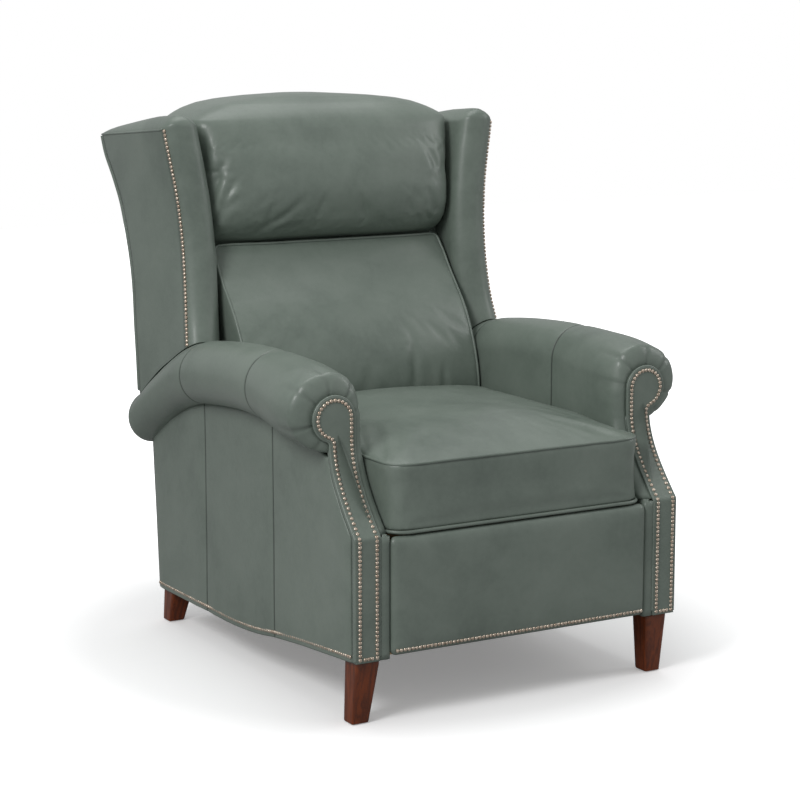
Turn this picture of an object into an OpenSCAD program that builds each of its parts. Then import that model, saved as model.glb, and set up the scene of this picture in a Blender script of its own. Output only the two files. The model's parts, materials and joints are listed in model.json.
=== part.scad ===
// High-leg wingback recliner: push the back and the footrest swings out on its links.
// Lengths are millimetres. Points marked yz are [distance behind the arm fronts, height].

/* [Base and sides] */
// Width of an arm's base, from the seat to its outer side
arm_w = 76; // [66:1:86]
// Height of the sides' lower edge at the front
skirt_front_h = 126; // [118:1:132]
// Height of the sides' lower edge at the rear
skirt_rear_h = 73; // [60:1:86]
// Distance from the arm fronts to the rear of a side at its foot
side_len = 883; // [870:1:892]
// How far the rear edge of a side leans back on its way up
side_lean = 32; // [20:1:40]
// Thickness of an upholstered side panel
side_t = 7; // [5:0.5:9]

/* [Arms] */
// How far an arm roll's rear end stands behind the foot of its side
arm_over = 53; // [43:1:67]
// Clear width between the two inside arms
seat_w = 566; // [556:1:576]
// Height of the arm rolls at their highest
roll_top_h = 661; // [650:1:675]
// Height of the seam under an arm roll at its highest
roll_seam_h = 528; // [518:1:536]
// Thickness of the padding on an inside arm
inside_pad_t = 17; // [12:0.5:20]
// Thickness of the plywood arm boards
arm_board_t = 18; // [12:0.5:20]
// Depth of the posts between an arm board and the side panel, front to rear
post_d = 34; // [24:1:44]

/* [Arm fronts] */
// Width of an arm front panel below its scroll
front_w = 50; // [44:1:56]
// Thickness of an arm front panel
front_t = 18; // [12:0.5:20]
// Height where an arm front turns back
step_h = 358; // [350:1:366]
// How far a scroll stands behind the foot of its panel
step_back = 94; // [84:1:104]
// Height of a scroll's centre
scroll_h = 565; // [558:1:572]
// Radius of a scroll
scroll_r = 42; // [38:0.5:46]

/* [Feet] */
// Width of a foot at its top
foot_top_w = 48; // [42:1:49]
// Width of a foot at the floor
foot_end_w = 35; // [28:1:38]
// How far a foot stands in from the arm's outer side
foot_inset = 8; // [6:1:10]
// How far the front feet stand behind the arm fronts at their top
front_foot_set = 14; // [8:1:16]
// How far the front feet lean back on their way to the floor
front_foot_rake = 18; // [10:1:24]
// How far the rear feet lean back on their way to the floor
rear_foot_rake = 20; // [10:1:24]
// Thickness of the glides under the feet
glide_t = 2; // [1:0.5:4]
// Radius of a glide
glide_r = 11; // [8:0.5:13]
// Radius of a foot bolt
foot_bolt_r = 4; // [3:0.5:5]
// Length of a foot bolt
foot_bolt_len = 60; // [50:1:66]

/* [Seat] */
// Height of the underside of the seat cushion
seat_h = 360; // [358:1:364]
// Height of the seat cushion's edge band
seat_band_h = 127; // [118:1:134]
// Rise of the seat cushion's crown above its band
seat_crown = 31; // [20:1:36]
// How far the seat cushion's rear stops short of the back's deck
seat_back_gap = 115; // [114:1:142]
// Width of a seat rail
seat_rail_w = 30; // [26:1:32]
// Height of a seat rail
seat_rail_h = 26; // [20:1:28]
// Number of seat springs
seat_springs = 4; // [3:1:6]
// Radius of the spring wire
wire_r = 1.8; // [1.4:0.1:2.2]

/* [Footrest] */
// How much wider the footrest panel is than the seat
rest_extra_w = 5; // [-14:1:6]
// Height of the footrest panel's lower edge
rest_low_h = 131; // [128:1:138]
// Height of the footrest panel's upper edge
rest_top_h = 353; // [345:1:356]
// Thickness of the footrest board
rest_board_t = 12; // [9:0.5:13]
// Thickness of the footrest padding at its edge
rest_pad_t = 12; // [9:0.5:12]
// Crown of the footrest padding
rest_crown = 8; // [4:0.5:10]

/* [Footrest links] */
// Distance of the rear link's fixed pivot behind the arm fronts
link_pivot_y = 205; // [195:1:215]
// Height of the rear link's fixed pivot
link_pivot_h = 320; // [316:1:324]
// Length of the two swinging links between pivots
link_len = 200; // [190:1:204]
// Distance between the two pivots along a bar
bar_step = 50; // [44:1:52]
// Distance between the two bars' pivots along a link
crank = 42; // [40:1:46]
// Distance of the footrest's pivot behind the arm fronts
rest_pivot_y = 53; // [53:1:58]
// Height of the footrest's pivot
rest_pivot_h = 280; // [270:1:286]
// Radius of a link's end
link_r = 11; // [9:0.5:11.5]
// Thickness of a link
link_t = 4; // [3:0.25:4.5]
// Gap between a link and its neighbour
link_gap = 1; // [0.6:0.1:1.5]
// Thickness of a side plate
plate_t = 4; // [3:0.25:5]
// Radius of a pivot pin
pin_r = 4; // [3:0.25:5]
// Play of a pin in its bore
pin_play = 0.05; // [0.02:0.01:0.1]
// Radius of the drive pin's circle on a rear link
drive_r = 36; // [32:1:40]
// Radius of the tube that ties the front links
tie_r = 9; // [7:0.5:10]

/* [Back] */
// Height of the back's pivot
back_pivot_h = 270; // [262:1:276]
// How far the back's pivot stands in front of the rear of the sides
back_pivot_set = 138; // [131:1:143]
// Height of the lower edge of the outside back
back_low_h = 308; // [304:1:316]
// Height of the back's top edge at the rear
back_top_h = 1036; // [1020:1:1050]
// How far the back's top edge stands behind the rear of the sides
back_over = 225; // [215:1:235]
// Thickness of the outside back
back_t = 10; // [7:0.5:12]
// How far the back's inner deck stands in front of the rear of the sides, at seat rail height
deck_set = 181; // [173:1:183]
// Lean of the inner deck, in degrees
deck_lean = 11.3; // [10:0.1:12]
// Width of a stile
stile_w = 30; // [24:1:34]
// Depth of a stile
stile_d = 42; // [34:1:48]
// Number of bands of webbing across the back
back_bands = 7; // [5:1:9]
// Width of a band of webbing
band_w = 46; // [36:1:52]

/* [Back cushion] */
// How much narrower the back cushion is than the seat
back_cushion_less_w = 10; // [6:1:26]
// Height of the back cushion's lower edge
back_cushion_low_h = 430; // [420:1:440]
// Height of the seam between the back cushion and the pillow
back_seam_h = 819; // [810:1:826]
// Greatest thickness of the back cushion
back_cushion_t = 150; // [136:1:152]
// Crown of the back cushion
back_crown = 26; // [10:1:30]

/* [Head pillow] */
// Top of the head pillow, the highest point of the chair
pillow_top_h = 1130; // [1110:1:1150]
// Thickness of the head pillow
pillow_t = 109; // [90:1:114]
// How much wider the head pillow is than the seat
pillow_extra_w = 62; // [34:1:66]
// Crown of the head pillow
pillow_crown = 20; // [6:1:26]
// How far the pillow rolls back over the top
pillow_over = 196; // [160:1:205]

/* [Wings] */
// How far a wing's front edge stands in front of the rear of the sides, at its foot
wing_foot_set = 219; // [209:1:227]
// How far a wing's front edge runs back on its way up
wing_sweep = 58; // [48:1:66]
// How far a wing's waist stands out past the arm's outer side
wing_waist_out = 5; // [-3:1:11]
// How much further out a wing's outer face is at its top
wing_flare = 29; // [20:1:34]
// Thickness of a wing at its front
wing_t = 80; // [72:1:84]
// Height of a wing's front edge at its top
wing_top_h = 1063; // [1050:1:1075]
// Rise of a wing's arched top above its edge
wing_crown = 30; // [20:1:34]
// Gap between a wing and the arm roll under it
wing_gap = 6; // [5:0.5:9]
// Thickness of the plywood wing boards
wing_board_t = 16; // [12:0.5:18]

/* [Nails] */
// Radius of a nail head
nail_r = 3.8; // [3:0.1:4.4]
// Height of a nail head
nail_t = 1.6; // [1:0.1:2.4]
// Distance from one nail to the next
nail_step = 10.2; // [9.5:0.1:14]
// Distance of a row of nails from its edge
nail_inset = 7; // [6:0.5:9]

/* [Hidden] */

leather = "#6b776e";
leather_dark = "#56605a";
oak = "#c7a878";
steel = "#8a8d90";
cherry = "#64300f";
nickel = "#c8b4a5";

left = -1;
right = 1;
sides = [left, right];
$fn = 48;

// Shared clearances
soft_gap = 0.4;
nail_gap = 0.4;
overrun = 1;

// Stations across the chair, from the middle of the seat
inside_x = seat_w / 2;
half_w = inside_x + arm_w;
side_x = half_w - side_t;
board_x = inside_x + inside_pad_t;
post_x = board_x + arm_board_t;
front_x = half_w - front_w;
rail_x = board_x - seat_rail_w;
plate_x = rail_x - plate_t;
outer_link_x = plate_x - link_gap - link_t;
inner_link_x = outer_link_x - link_gap - link_t;

wing_waist_x = half_w + wing_waist_out;
rest_w = seat_w + rest_extra_w;
back_cushion_w = seat_w - back_cushion_less_w;
pillow_w = seat_w + pillow_extra_w;

// Stations from the arm fronts to the rear
arm_len = side_len + arm_over;
back_reach = side_len + back_over;
deck_y = side_len - deck_set;
back_pivot_y = side_len - back_pivot_set;
wing_foot_y = side_len - wing_foot_set;
seat_d = deck_y - seat_back_gap;

// The frame's origin is under the middle of the chair's box
mid_y = (back_reach - rest_crown) / 2;

// A side's lower edge: [share of its length, share of its rise from rear to front]
skirt_shares = [[0, 1], [0.127, 0.83], [0.249, 0.66], [0.378, 0.415], [0.46, 0.22],
    [0.549, 0.1], [0.73, 0.05], [1, 0]];
function skirt_h(y) = skirt_rear_h
    + (skirt_front_h - skirt_rear_h) * lookup(y / side_len, skirt_shares);

// The arm roll's seam and its top: [share of the arm's length, share of the greatest height]
seam_shares = [[0, 0.92], [0.12, 0.95], [0.18, 0.952], [0.248, 0.967], [0.346, 0.992],
    [0.433, 1], [0.552, 0.991], [0.68, 0.966], [0.756, 0.934], [0.836, 0.875],
    [0.922, 0.79], [1, 0.71]];
top_shares = [[0, 0.966], [0.12, 0.98], [0.173, 0.992], [0.26, 1], [0.497, 0.997],
    [0.612, 0.983], [0.682, 0.968], [0.737, 0.944], [0.814, 0.893], [0.897, 0.828],
    [1, 0.735]];
function seam_h(y) = roll_seam_h * lookup(y / arm_len, seam_shares);
function top_h(y) = roll_top_h * lookup(y / arm_len, top_shares);

// The arm front: upright below the step, then a quarter sine back to the scroll
sweep_rise = scroll_h - scroll_r - step_h;
sweep_parts = 10;
function sweep_share(h) = max(0, min(1, (h - step_h) / sweep_rise));
function front_y(h) = step_back * sin(90 * sweep_share(h));
function front_tilt(h) = h <= step_h || h >= step_h + sweep_rise ? 0
    : atan(step_back / sweep_rise * PI / 2 * cos(90 * sweep_share(h)));
function front_curve(shift) = [for (i = [0:sweep_parts])
    let (h = step_h + sweep_rise * i / sweep_parts) [front_y(h) + shift, h]];
scroll_x = front_x + scroll_r;

// The swinging links at rest: yz points and directions
link_start = -70;
link_swing = 90;
recline = 27;
drive_start = -link_swing / 2;
function polar(l, a) = [l * cos(a), l * sin(a)];
rear_pivot = [link_pivot_y, link_pivot_h];
rest_pivot = [rest_pivot_y, rest_pivot_h];
low_joint = rear_pivot + polar(link_len, link_start);
bar_way = (rest_pivot - low_joint) / norm(rest_pivot - low_joint);
front_pivot = rear_pivot + bar_way * bar_step;
front_joint = low_joint + bar_way * bar_step;
high_joint = rear_pivot + polar(link_len - crank, link_start);
rest_joint = rest_pivot - polar(crank, link_start);
drive_joint = rear_pivot + polar(drive_r, drive_start);
tie_share = 0.35;
tie_point = front_pivot + polar(link_len * tie_share, link_start);

// The back's pivot and the arm under it that draws the drive rod
back_pivot = [back_pivot_y, back_pivot_h];
back_arm_r = drive_r * sin(link_swing / 2) / sin(recline / 2);
back_joint = back_pivot + polar(back_arm_r, recline / 2 - 90);
slot_play = 1.2;
slot_len = drive_r * (1 - cos(link_swing / 2)) - back_arm_r * (1 - cos(recline / 2));
slot_end = drive_joint - [0, slot_len];
bore_r = pin_r + pin_play;
head_r = 2 * pin_r;
head_t = 0.6 * pin_r;
head_gap = 0.2;

// The back: its deck, and its rear outline as [share of height, share of depth]
function deck(h) = deck_y + (h - (seat_h - seat_rail_h)) * tan(deck_lean);
back_foot_gap = 4;
back_foot_y = side_len + back_foot_gap
    + side_lean * (back_low_h - skirt_rear_h) / (roll_seam_h - skirt_rear_h);
rear_shares = [[0, 0], [0.257, 0.144], [0.364, 0.174], [0.468, 0.208], [0.54, 0.222],
    [0.61, 0.257], [0.679, 0.325], [0.747, 0.418], [0.816, 0.535], [0.883, 0.711],
    [0.952, 0.917], [1, 1]];
least_rise = 1;
function rear_hs(low, high) = concat([low],
    [for (s = rear_shares) let (h = back_low_h + s[0] * (back_top_h - back_low_h))
        if (h > low + least_rise && h < high - least_rise) h], [high]);
function rear_y(h) = back_foot_y + (back_reach - back_foot_y)
    * lookup((h - back_low_h) / (back_top_h - back_low_h), rear_shares);
back_arm_gap = 5;
back_wide_h = top_h(arm_len) + wing_gap + back_arm_gap;

// A closed skin over rings of equal length, with a fan of triangles at each end
function mean(ring) = [for (k = [0:2]) [for (p = ring) p[k]] * [for (p = ring) 1] / len(ring)];
module skin(rings) {
    n = len(rings[0]);
    m = len(rings);
    points = [for (r = rings) each r, mean(rings[0]), mean(rings[m - 1])];
    faces = [
        for (j = [0:m - 2], i = [0:n - 1]) each [
            [j * n + i, j * n + (i + 1) % n, (j + 1) * n + i],
            [j * n + (i + 1) % n, (j + 1) * n + (i + 1) % n, (j + 1) * n + i]],
        for (i = [0:n - 1]) [m * n, (i + 1) % n, i],
        for (i = [0:n - 1]) [m * n + 1, (m - 1) * n + i, (m - 1) * n + (i + 1) % n]];
    polyhedron(points, faces);
}

// Plates between two stations across the chair, or from front to rear
module plate_yz(points, x, t) {
    translate([x, 0, 0]) rotate([90, 0, 90]) linear_extrude(t) polygon(points);
}
module plate_xz(points, y, t) {
    translate([0, y + t, 0]) rotate([90, 0, 0]) linear_extrude(t) polygon(points);
}
module eye(p, r, x, t) {
    translate([x, p[0], p[1]]) rotate([0, 90, 0]) cylinder(r = r, h = t);
}
module strap(p, q, r, x, t) {
    across = [p[1] - q[1], q[0] - p[0]] * r / norm(q - p);
    eye(p, r, x, t);
    eye(q, r, x, t);
    plate_yz([p + across, q + across, q - across, p - across], x, t);
}
module on_side(side) {
    mirror([side < 0 ? 1 : 0, 0, 0]) children();
}
module place() {
    translate([0, -mid_y, 0]) children();
}

// Arms
arm_floor_h = seat_h;
rear_top_y = side_len + side_lean * (seam_h(side_len + side_lean) - skirt_rear_h)
    / (roll_seam_h - skirt_rear_h);
function side_outline(front, rear_shift) = concat(
    [for (s = skirt_shares) let (y = front + s[0] * (side_len - rear_shift - front)) [y, skirt_h(y)]],
    [[rear_top_y - rear_shift, seam_h(rear_top_y - rear_shift)]],
    [for (i = [len(seam_shares) - 1:-1:0]) let (y = seam_shares[i][0] * arm_len)
        if (y < rear_top_y - rear_shift && y > step_back + front_t) [y, seam_h(y)]],
    [for (i = [sweep_parts:-1:0]) let (p = front_curve(front)[i]) if (p[1] < seam_h(p[0])) p]);

module arm_board(side) {
    color(oak) on_side(side) plate_yz(side_outline(front_t, side_t), board_x, arm_board_t);
}

rear_post_y = side_len - side_t - post_d;
mid_post_y = (front_t + rear_post_y) / 2;
module arm_posts(side) {
    color(oak) on_side(side) difference() {
        union() {
            front_post();
            for (y = [mid_post_y, rear_post_y])
                plate_yz([[y, skirt_h(y)], [y + post_d, skirt_h(y + post_d)],
                    [y + post_d, seam_h(y + post_d)], [y, seam_h(y)]], post_x, side_x - post_x);
        }
        for (f = feet) if (f[3] > 0) foot_bore(f);
    }
}
// The front post also fills the strip beside the footrest panel
front_rail_y = 28;
strip_gap = 1.5;
strip_t = 5;
strip_x = rest_w / 2 + strip_gap;
module front_post() {
    y = front_t;
    plate_yz([[y, skirt_h(y)], [y + post_d, skirt_h(y + post_d)], [y + post_d, step_h],
        [y, step_h]], post_x, side_x - post_x);
    translate([strip_x, y, skirt_front_h])
        cube([board_x - strip_x, front_rail_y - front_t, seat_h - seat_rail_h - skirt_front_h]);
}

module inside_arm(side) {
    rear = side_len - side_t;
    floor_h = arm_floor_h + overrun;
    color(leather) on_side(side) plate_yz(concat(
        [[front_y(floor_h) + front_t, floor_h], [rear, floor_h]],
        [for (i = [len(seam_shares) - 1:-1:0]) let (y = seam_shares[i][0] * arm_len)
            if (y < rear && y > step_back + front_t) [y, seam_h(y)]],
        [for (i = [sweep_parts:-1:0]) let (p = front_curve(front_t)[i])
            if (p[1] > floor_h && p[1] < seam_h(p[0])) p]),
        inside_x, inside_pad_t);
}

// A roll's section: a round with a square inner lower corner, drawn in at both ends
roll_set = 9;
roll_x = half_w - roll_set;
roll_parts = 16;
// The section grows over the front end and shrinks over the rear one: [distance share, section share]
roll_end_len = 46;
roll_front_shares = [[0, 0.66], [0.09, 0.8], [0.28, 0.92], [0.6, 0.99], [1, 1]];
roll_rear_shares = [[0.62, 0.985], [0.35, 0.92], [0.14, 0.82], [0, 0.66]];
roll_swell = 0.17;
roll_swell_len = 200;
function roll_r(y) = (top_h(y) - seam_h(y)) / 2;
function roll_c(y) = (top_h(y) + seam_h(y)) / 2;
function roll_ring(y, draw) =
    let (r = roll_r(y), c = roll_c(y), in = roll_x - inside_x,
        out = r * (1 + roll_swell * max(0, 1 - (y - step_back - front_t) / roll_swell_len)))
    [for (i = [0:roll_parts]) let (a = -90 + 270 * i / roll_parts)
        [roll_x + draw * cos(a) * (cos(a) > 0 ? out : in), y, c + draw * r * sin(a)],
     [roll_x - draw * in, y, c - draw * r]];
roll_lap = 14;
roll_gap = 0.25;
function roll_stations(first) = concat(
    [for (s = roll_front_shares) [first + s[0] * roll_end_len, s[1]]],
    [for (s = seam_shares) let (y = s[0] * arm_len)
        if (y > first + 1.2 * roll_end_len && y < arm_len - roll_end_len) [y, 1]],
    [for (s = roll_rear_shares) [arm_len - s[0] * roll_end_len, s[1]]]);
module arm_roll(side) {
    r = scroll_r + roll_gap;
    color(leather) on_side(side) difference() {
        translate([0, 0, roll_gap]) skin([for (s = roll_stations(step_back + front_t - roll_lap))
            roll_ring(s[0], s[1])]);
        translate([scroll_x, step_back + front_t + roll_gap, scroll_h]) rotate([90, 0, 0])
            cylinder(r = r, h = front_t + overrun);
        translate([scroll_x - r, step_back - overrun, step_h])
            cube([2 * r, front_t + overrun + roll_gap, scroll_h - step_h]);
    }
}

// The front panel: its outline cut from a strip that follows the sweep
module arm_front(side) {
    color(leather) on_side(side) intersection() {
        union() {
            plate_xz([[front_x, skirt_front_h], [half_w, skirt_front_h], [half_w, scroll_h],
                [front_x, scroll_h]], -overrun, step_back + front_t + 2 * overrun);
            translate([scroll_x, step_back + front_t + overrun, scroll_h]) rotate([90, 0, 0])
                cylinder(r = scroll_r, h = step_back + front_t + 2 * overrun);
        }
        plate_yz(concat([[0, skirt_front_h]], front_curve(0), [[step_back, scroll_h + scroll_r],
            [step_back + front_t, scroll_h + scroll_r]],
            [for (i = [sweep_parts:-1:0]) front_curve(front_t)[i]],
            [[front_t, skirt_front_h]]), front_x - overrun, front_w + 2 * scroll_r);
    }
    color(leather) on_side(side) translate([strip_x, front_t - strip_t, skirt_front_h])
        cube([front_x - strip_x, strip_t, step_h - skirt_front_h]);
}

module side_panel(side) {
    color(leather) on_side(side) {
        plate_yz(side_outline(front_t, 0), side_x, side_t);
        rear_return();
    }
}
// The panel turns round the rear of the arm
module rear_return() {
    plate_yz([[side_len - side_t, skirt_rear_h], [side_len, skirt_rear_h],
        [rear_top_y, seam_h(rear_top_y)], [rear_top_y - side_t, seam_h(rear_top_y)]],
        board_x, half_w - board_x);
}

// Nails: heads along a path of [x, y, z] points, at even steps
function path_len(p, i = 0) = i >= len(p) - 1 ? 0 : norm(p[i + 1] - p[i]) + path_len(p, i + 1);
function along(p, d, i = 0) = let (seg = norm(p[i + 1] - p[i]))
    d <= seg || i == len(p) - 2 ? p[i] + (p[i + 1] - p[i]) * d / seg : along(p, d - seg, i + 1);
function steps(p) = let (n = round(path_len(p) / nail_step))
    [for (i = [0:n]) along(p, path_len(p) * i / n)];
module nail() {
    translate([0, 0, nail_gap]) cylinder(r = nail_r, h = nail_t, $fn = 24);
}
module arm_nails(side) {
    low = skirt_front_h + nail_inset;
    in = front_x + nail_inset;
    out = half_w - nail_inset;
    r = scroll_r - nail_inset;
    turns = 14;
    rise = [for (s = front_curve(0)) s[1]];
    path = concat([for (h = concat([low], rise, [scroll_h])) [in, front_y(h), h]],
        [for (i = [1:turns]) let (a = 180 - 270 * i / turns)
            [scroll_x + r * cos(a), step_back, scroll_h + r * sin(a)]],
        [for (i = [len(rise) - 1:-1:0]) [out, front_y(rise[i]), rise[i]]], [[out, 0, low]]);
    color(nickel) on_side(side) {
        for (p = steps(path)) translate(p) rotate([90 - front_tilt(p[2]), 0, 0]) nail();
        for (p = steps([[in + nail_step, 0, low], [out - nail_step, 0, low]]))
            translate(p) rotate([90, 0, 0]) nail();
    }
}
module side_nails() {
    first = nail_inset + front_t;
    last = side_len - nail_inset;
    path = [for (s = skirt_shares) let (y = first + (last - first) * s[0])
        [half_w, y, skirt_h(y) + 1.6 * nail_inset]];
    color(nickel) for (side = sides, p = steps(path))
        on_side(side) translate(p) rotate([0, 90, 0]) nail();
}

module base_nails() {
    arm_nails(left);
    arm_nails(right);
    side_nails();
}

// Base
front_rail_d = 20;
front_rail_h = 30;
rear_rail_d = 22;
rear_rail_top_h = 186;
apron_t = 9;
apron_gap = 8;
module base_rails() {
    rear_y0 = side_len - side_t - apron_t - rear_rail_d;
    color(oak) {
        translate([-board_x, front_rail_y, skirt_front_h])
            cube([2 * board_x, front_rail_d, front_rail_h]);
        translate([-board_x, rear_y0, skirt_rear_h])
            cube([2 * board_x, rear_rail_d, rear_rail_top_h - skirt_rear_h]);
    }
}
module rear_apron() {
    y = side_len - side_t - apron_t;
    top = back_low_h - apron_gap;
    color(leather) plate_yz([[y, skirt_rear_h], [y + apron_t, skirt_rear_h], [y + apron_t, top],
        [y, top]], -board_x, 2 * board_x);
}

// Feet: [front of the top, height, rake, side], each tapered on its inner and rear faces
feet = [for (side = sides) each [[front_foot_set, skirt_front_h, front_foot_rake, side],
    [side_len - side_t - foot_top_w, skirt_rear_h, rear_foot_rake, side]]];
module foot(f) {
    y = f[0];
    low = y + f[2];
    out = half_w - foot_inset;
    color(cherry) on_side(f[3]) difference() {
        intersection() {
            plate_xz([[out, foot_cut(f)], [out - foot_top_w, foot_cut(f)],
                [out - foot_end_w, glide_t], [out, glide_t]],
                y - overrun, f[2] + foot_top_w + 2 * overrun);
            plate_yz([[y, foot_cut(f)], [y + foot_top_w, foot_cut(f)], [low + foot_end_w, glide_t],
                [low, glide_t]], out - foot_top_w, foot_top_w);
        }
        foot_bore(f);
    }
}
function foot_cut(f) = min(skirt_h(f[0]), skirt_h(f[0] + foot_top_w));
module foot_axis(f) {
    translate([post_x + (side_x - post_x) / 2, f[0] + foot_top_w / 2 + foot_bolt_set, 0]) children();
}
foot_bolt_set = 6;
module foot_bore(f) {
    foot_axis(f) translate([0, 0, foot_cut(f) - foot_bolt_len / 2 - overrun])
        cylinder(r = foot_bolt_r + pin_play, h = foot_bolt_len + 2 * overrun);
}
module foot_bolts() {
    color(steel) for (f = feet) on_side(f[3]) foot_axis(f)
        translate([0, 0, foot_cut(f) - foot_bolt_len / 2]) cylinder(r = foot_bolt_r, h = foot_bolt_len);
}
module foot_glides() {
    color(steel) for (f = feet) on_side(f[3])
        translate([half_w - foot_inset - foot_end_w / 2, f[0] + f[2] + foot_end_w / 2, 0])
            cylinder(r = glide_r, h = glide_t);
}

// Mechanism, fixed part
seat_rail_y = 52;
seat_rail_set = 183;
seat_rail_end = side_len - seat_rail_set;
plate_set = 2;
seat_rail_z = seat_h - plate_set - seat_rail_h;
cross_rail_d = 28;
rear_cross_set = 12;
rear_cross_y = seat_rail_end - rear_cross_set - cross_rail_d;
plate_rear_y = back_pivot_y + 2 * link_r;
plate_low_h = link_pivot_h - 1.2 * link_r;
plate_top_h = seat_h - plate_set;
plate_front_y = front_pivot[0] - 1.6 * link_r;
module side_plate(side) {
    color(steel) on_side(side) difference() {
        union() {
            plate_yz([[plate_front_y, plate_low_h], [plate_rear_y, plate_low_h],
                [plate_rear_y, plate_top_h], [plate_front_y, plate_top_h]], plate_x, plate_t);
            strap(back_pivot, back_pivot + [0, plate_low_h - back_pivot_h], 1.6 * link_r, plate_x, plate_t);
        }
        for (p = concat([rear_pivot, front_pivot, back_pivot], bolt_points))
            eye(p, bore_r, plate_x - overrun, plate_t + 2 * overrun);
    }
}
bolt_shares = [0.12, 0.42, 0.68];
bolt_h = plate_top_h - seat_rail_h / 2;
bolt_points = [for (s = bolt_shares)
    [plate_front_y + s * (seat_rail_end - plate_front_y) + 2 * head_r, bolt_h]];
bolt_depth = seat_rail_w * 0.8;
module plate_bolts() {
    color(steel) for (side = sides) on_side(side) for (p = bolt_points) {
        eye(p, pin_r, plate_x - head_gap, plate_t + bolt_depth);
        eye(p, head_r, plate_x - head_gap - head_t, head_t);
    }
}
module fixed_pins() {
    color(steel) for (side = sides) on_side(side) for (p = [rear_pivot, front_pivot, back_pivot]) {
        eye(p, pin_r, outer_link_x - head_gap, rail_x - outer_link_x + head_gap);
        eye(p, head_r, outer_link_x - head_gap - head_t, head_t);
    }
}

// Seat
module seat_side_rails() {
    color(oak) for (side = sides) on_side(side) difference() {
        translate([rail_x, seat_rail_y, seat_rail_z])
            cube([seat_rail_w, seat_rail_end - seat_rail_y, seat_rail_h]);
        for (p = bolt_points) eye(p, bore_r, rail_x - overrun, bolt_depth + 2 * overrun);
    }
}
module seat_cross_rails() {
    color(oak) for (y = [seat_rail_y, rear_cross_y])
        translate([-plate_x, y, seat_rail_z]) cube([2 * plate_x, cross_rail_d, seat_rail_h]);
}
deck_t = 1.5;
// The deck lies between the links' tops
module seat_deck() {
    x = outer_link_x - link_gap;
    color(leather_dark) translate([-x, seat_rail_y, seat_rail_z + seat_rail_h])
        cube([2 * x, seat_rail_end - seat_rail_y, deck_t]);
}
// A zigzag spring: one unbroken tube that runs along Y and waves across it
wave_parts = 5;
wire_parts = 6;
wave_reach = 19;
function wave_point(length, waves, i) = let (t = i / (waves * wave_parts))
    [wave_reach * sin(180 * i / wave_parts), length * t];
module zigzag(length, waves) {
    last = waves * wave_parts;
    skin([for (i = [0:last])
        let (p = wave_point(length, waves, i), way = wave_point(length, waves, min(last, i + 1))
            - wave_point(length, waves, max(0, i - 1)),
            across = i == 0 || i == last ? [1, 0] : [way[1], -way[0]] / norm(way))
        [for (k = [0:wire_parts - 1]) let (a = 360 * k / wire_parts)
            [p[0] + wire_r * cos(a) * across[0], p[1] + wire_r * cos(a) * across[1],
                wire_r * sin(a)]]]);
}
seat_waves = 12;
module seat_spring_set() {
    span = rear_cross_y - seat_rail_y - cross_rail_d;
    color(steel) for (i = [1:seat_springs])
        translate([rail_x * (2 * i / (seat_springs + 1) - 1), seat_rail_y + cross_rail_d,
            seat_rail_z + seat_rail_h - 3 * wire_r]) zigzag(span, seat_waves);
}

// A box cushion: rings of a rounded rectangle from its underside to its crown
corner_parts = 6;
edge_parts = 5;
function box_ring(w, d, r, z, pull) = let (a = w / 2 - r, b = d / 2 - r,
        corners = [[a, b], [-a, b], [-a, -b], [a, -b]])
    [for (k = [0:3]) each concat(
        [for (i = [0:corner_parts]) let (t = 90 * (k + i / corner_parts))
            [corners[k][0] + r * cos(t), corners[k][1] + r * sin(t), z]],
        [for (i = [1:edge_parts]) let (u = i / (edge_parts + 1), t = 90 * (k + 1),
                from = corners[k] + r * [cos(t), sin(t)],
                to = corners[(k + 1) % 4] + r * [cos(t), sin(t)],
                at = from + (to - from) * u - pull * sin(180 * u) * [cos(t), sin(t)])
            [at[0], at[1], z]])];
// [height share of the band, size share, crown share, pull share]
cushion_rings = [[0, 0.4, 0, 0], [0, 0.955, 0, 0], [0.025, 0.985, 0, 0], [0.08, 1, 0, 0.1],
    [0.5, 0.996, 0, 1], [0.9, 1, 0, 0.1], [0.97, 0.99, 0.03, 0], [1, 0.965, 0.12, 0],
    [1, 0.92, 0.3, 0], [1, 0.82, 0.57, 0], [1, 0.66, 0.8, 0], [1, 0.46, 0.93, 0], [1, 0.22, 1, 0]];
seat_corner_r = 38;
seat_pull = 6;
seat_side_gap = 2;
module seat_cushion() {
    w = seat_w - 2 * seat_side_gap;
    color(leather) translate([0, seat_d / 2, seat_h]) skin([for (r = cushion_rings)
        box_ring(w * r[1], seat_d * r[1], seat_corner_r * r[1], r[0] * seat_band_h + r[2] * seat_crown,
            seat_pull * r[3])]);
}

// Links, each with its own bores; bars carry the pins that turn in them
module link(p, q, bores, x) {
    difference() {
        strap(p, q, link_r, x, link_t);
        for (b = bores) eye(b, bore_r, x - overrun, link_t + 2 * overrun);
    }
}
module rear_link(side) {
    color(steel) on_side(side) difference() {
        union() {
            strap(rear_pivot, low_joint, link_r, outer_link_x, link_t);
            strap(rear_pivot, drive_joint, link_r, outer_link_x, link_t);
        }
        for (b = [rear_pivot, low_joint, high_joint])
            eye(b, bore_r, outer_link_x - overrun, link_t + 2 * overrun);
    }
    color(steel) on_side(side) {
        eye(drive_joint, pin_r, inner_link_x - head_gap, outer_link_x - inner_link_x + head_gap);
        eye(drive_joint, head_r, inner_link_x - head_gap - head_t, head_t);
    }
}
module front_link(side) {
    color(steel) on_side(side)
        link(front_pivot, front_joint, [front_pivot, front_joint], outer_link_x);
}
module tie_tube() {
    wall = tie_r * 0.25;
    color(steel) difference() {
        eye(tie_point, tie_r, -outer_link_x, 2 * outer_link_x);
        eye(tie_point, tie_r - wall, -outer_link_x - overrun, 2 * (outer_link_x + overrun));
    }
}
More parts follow.
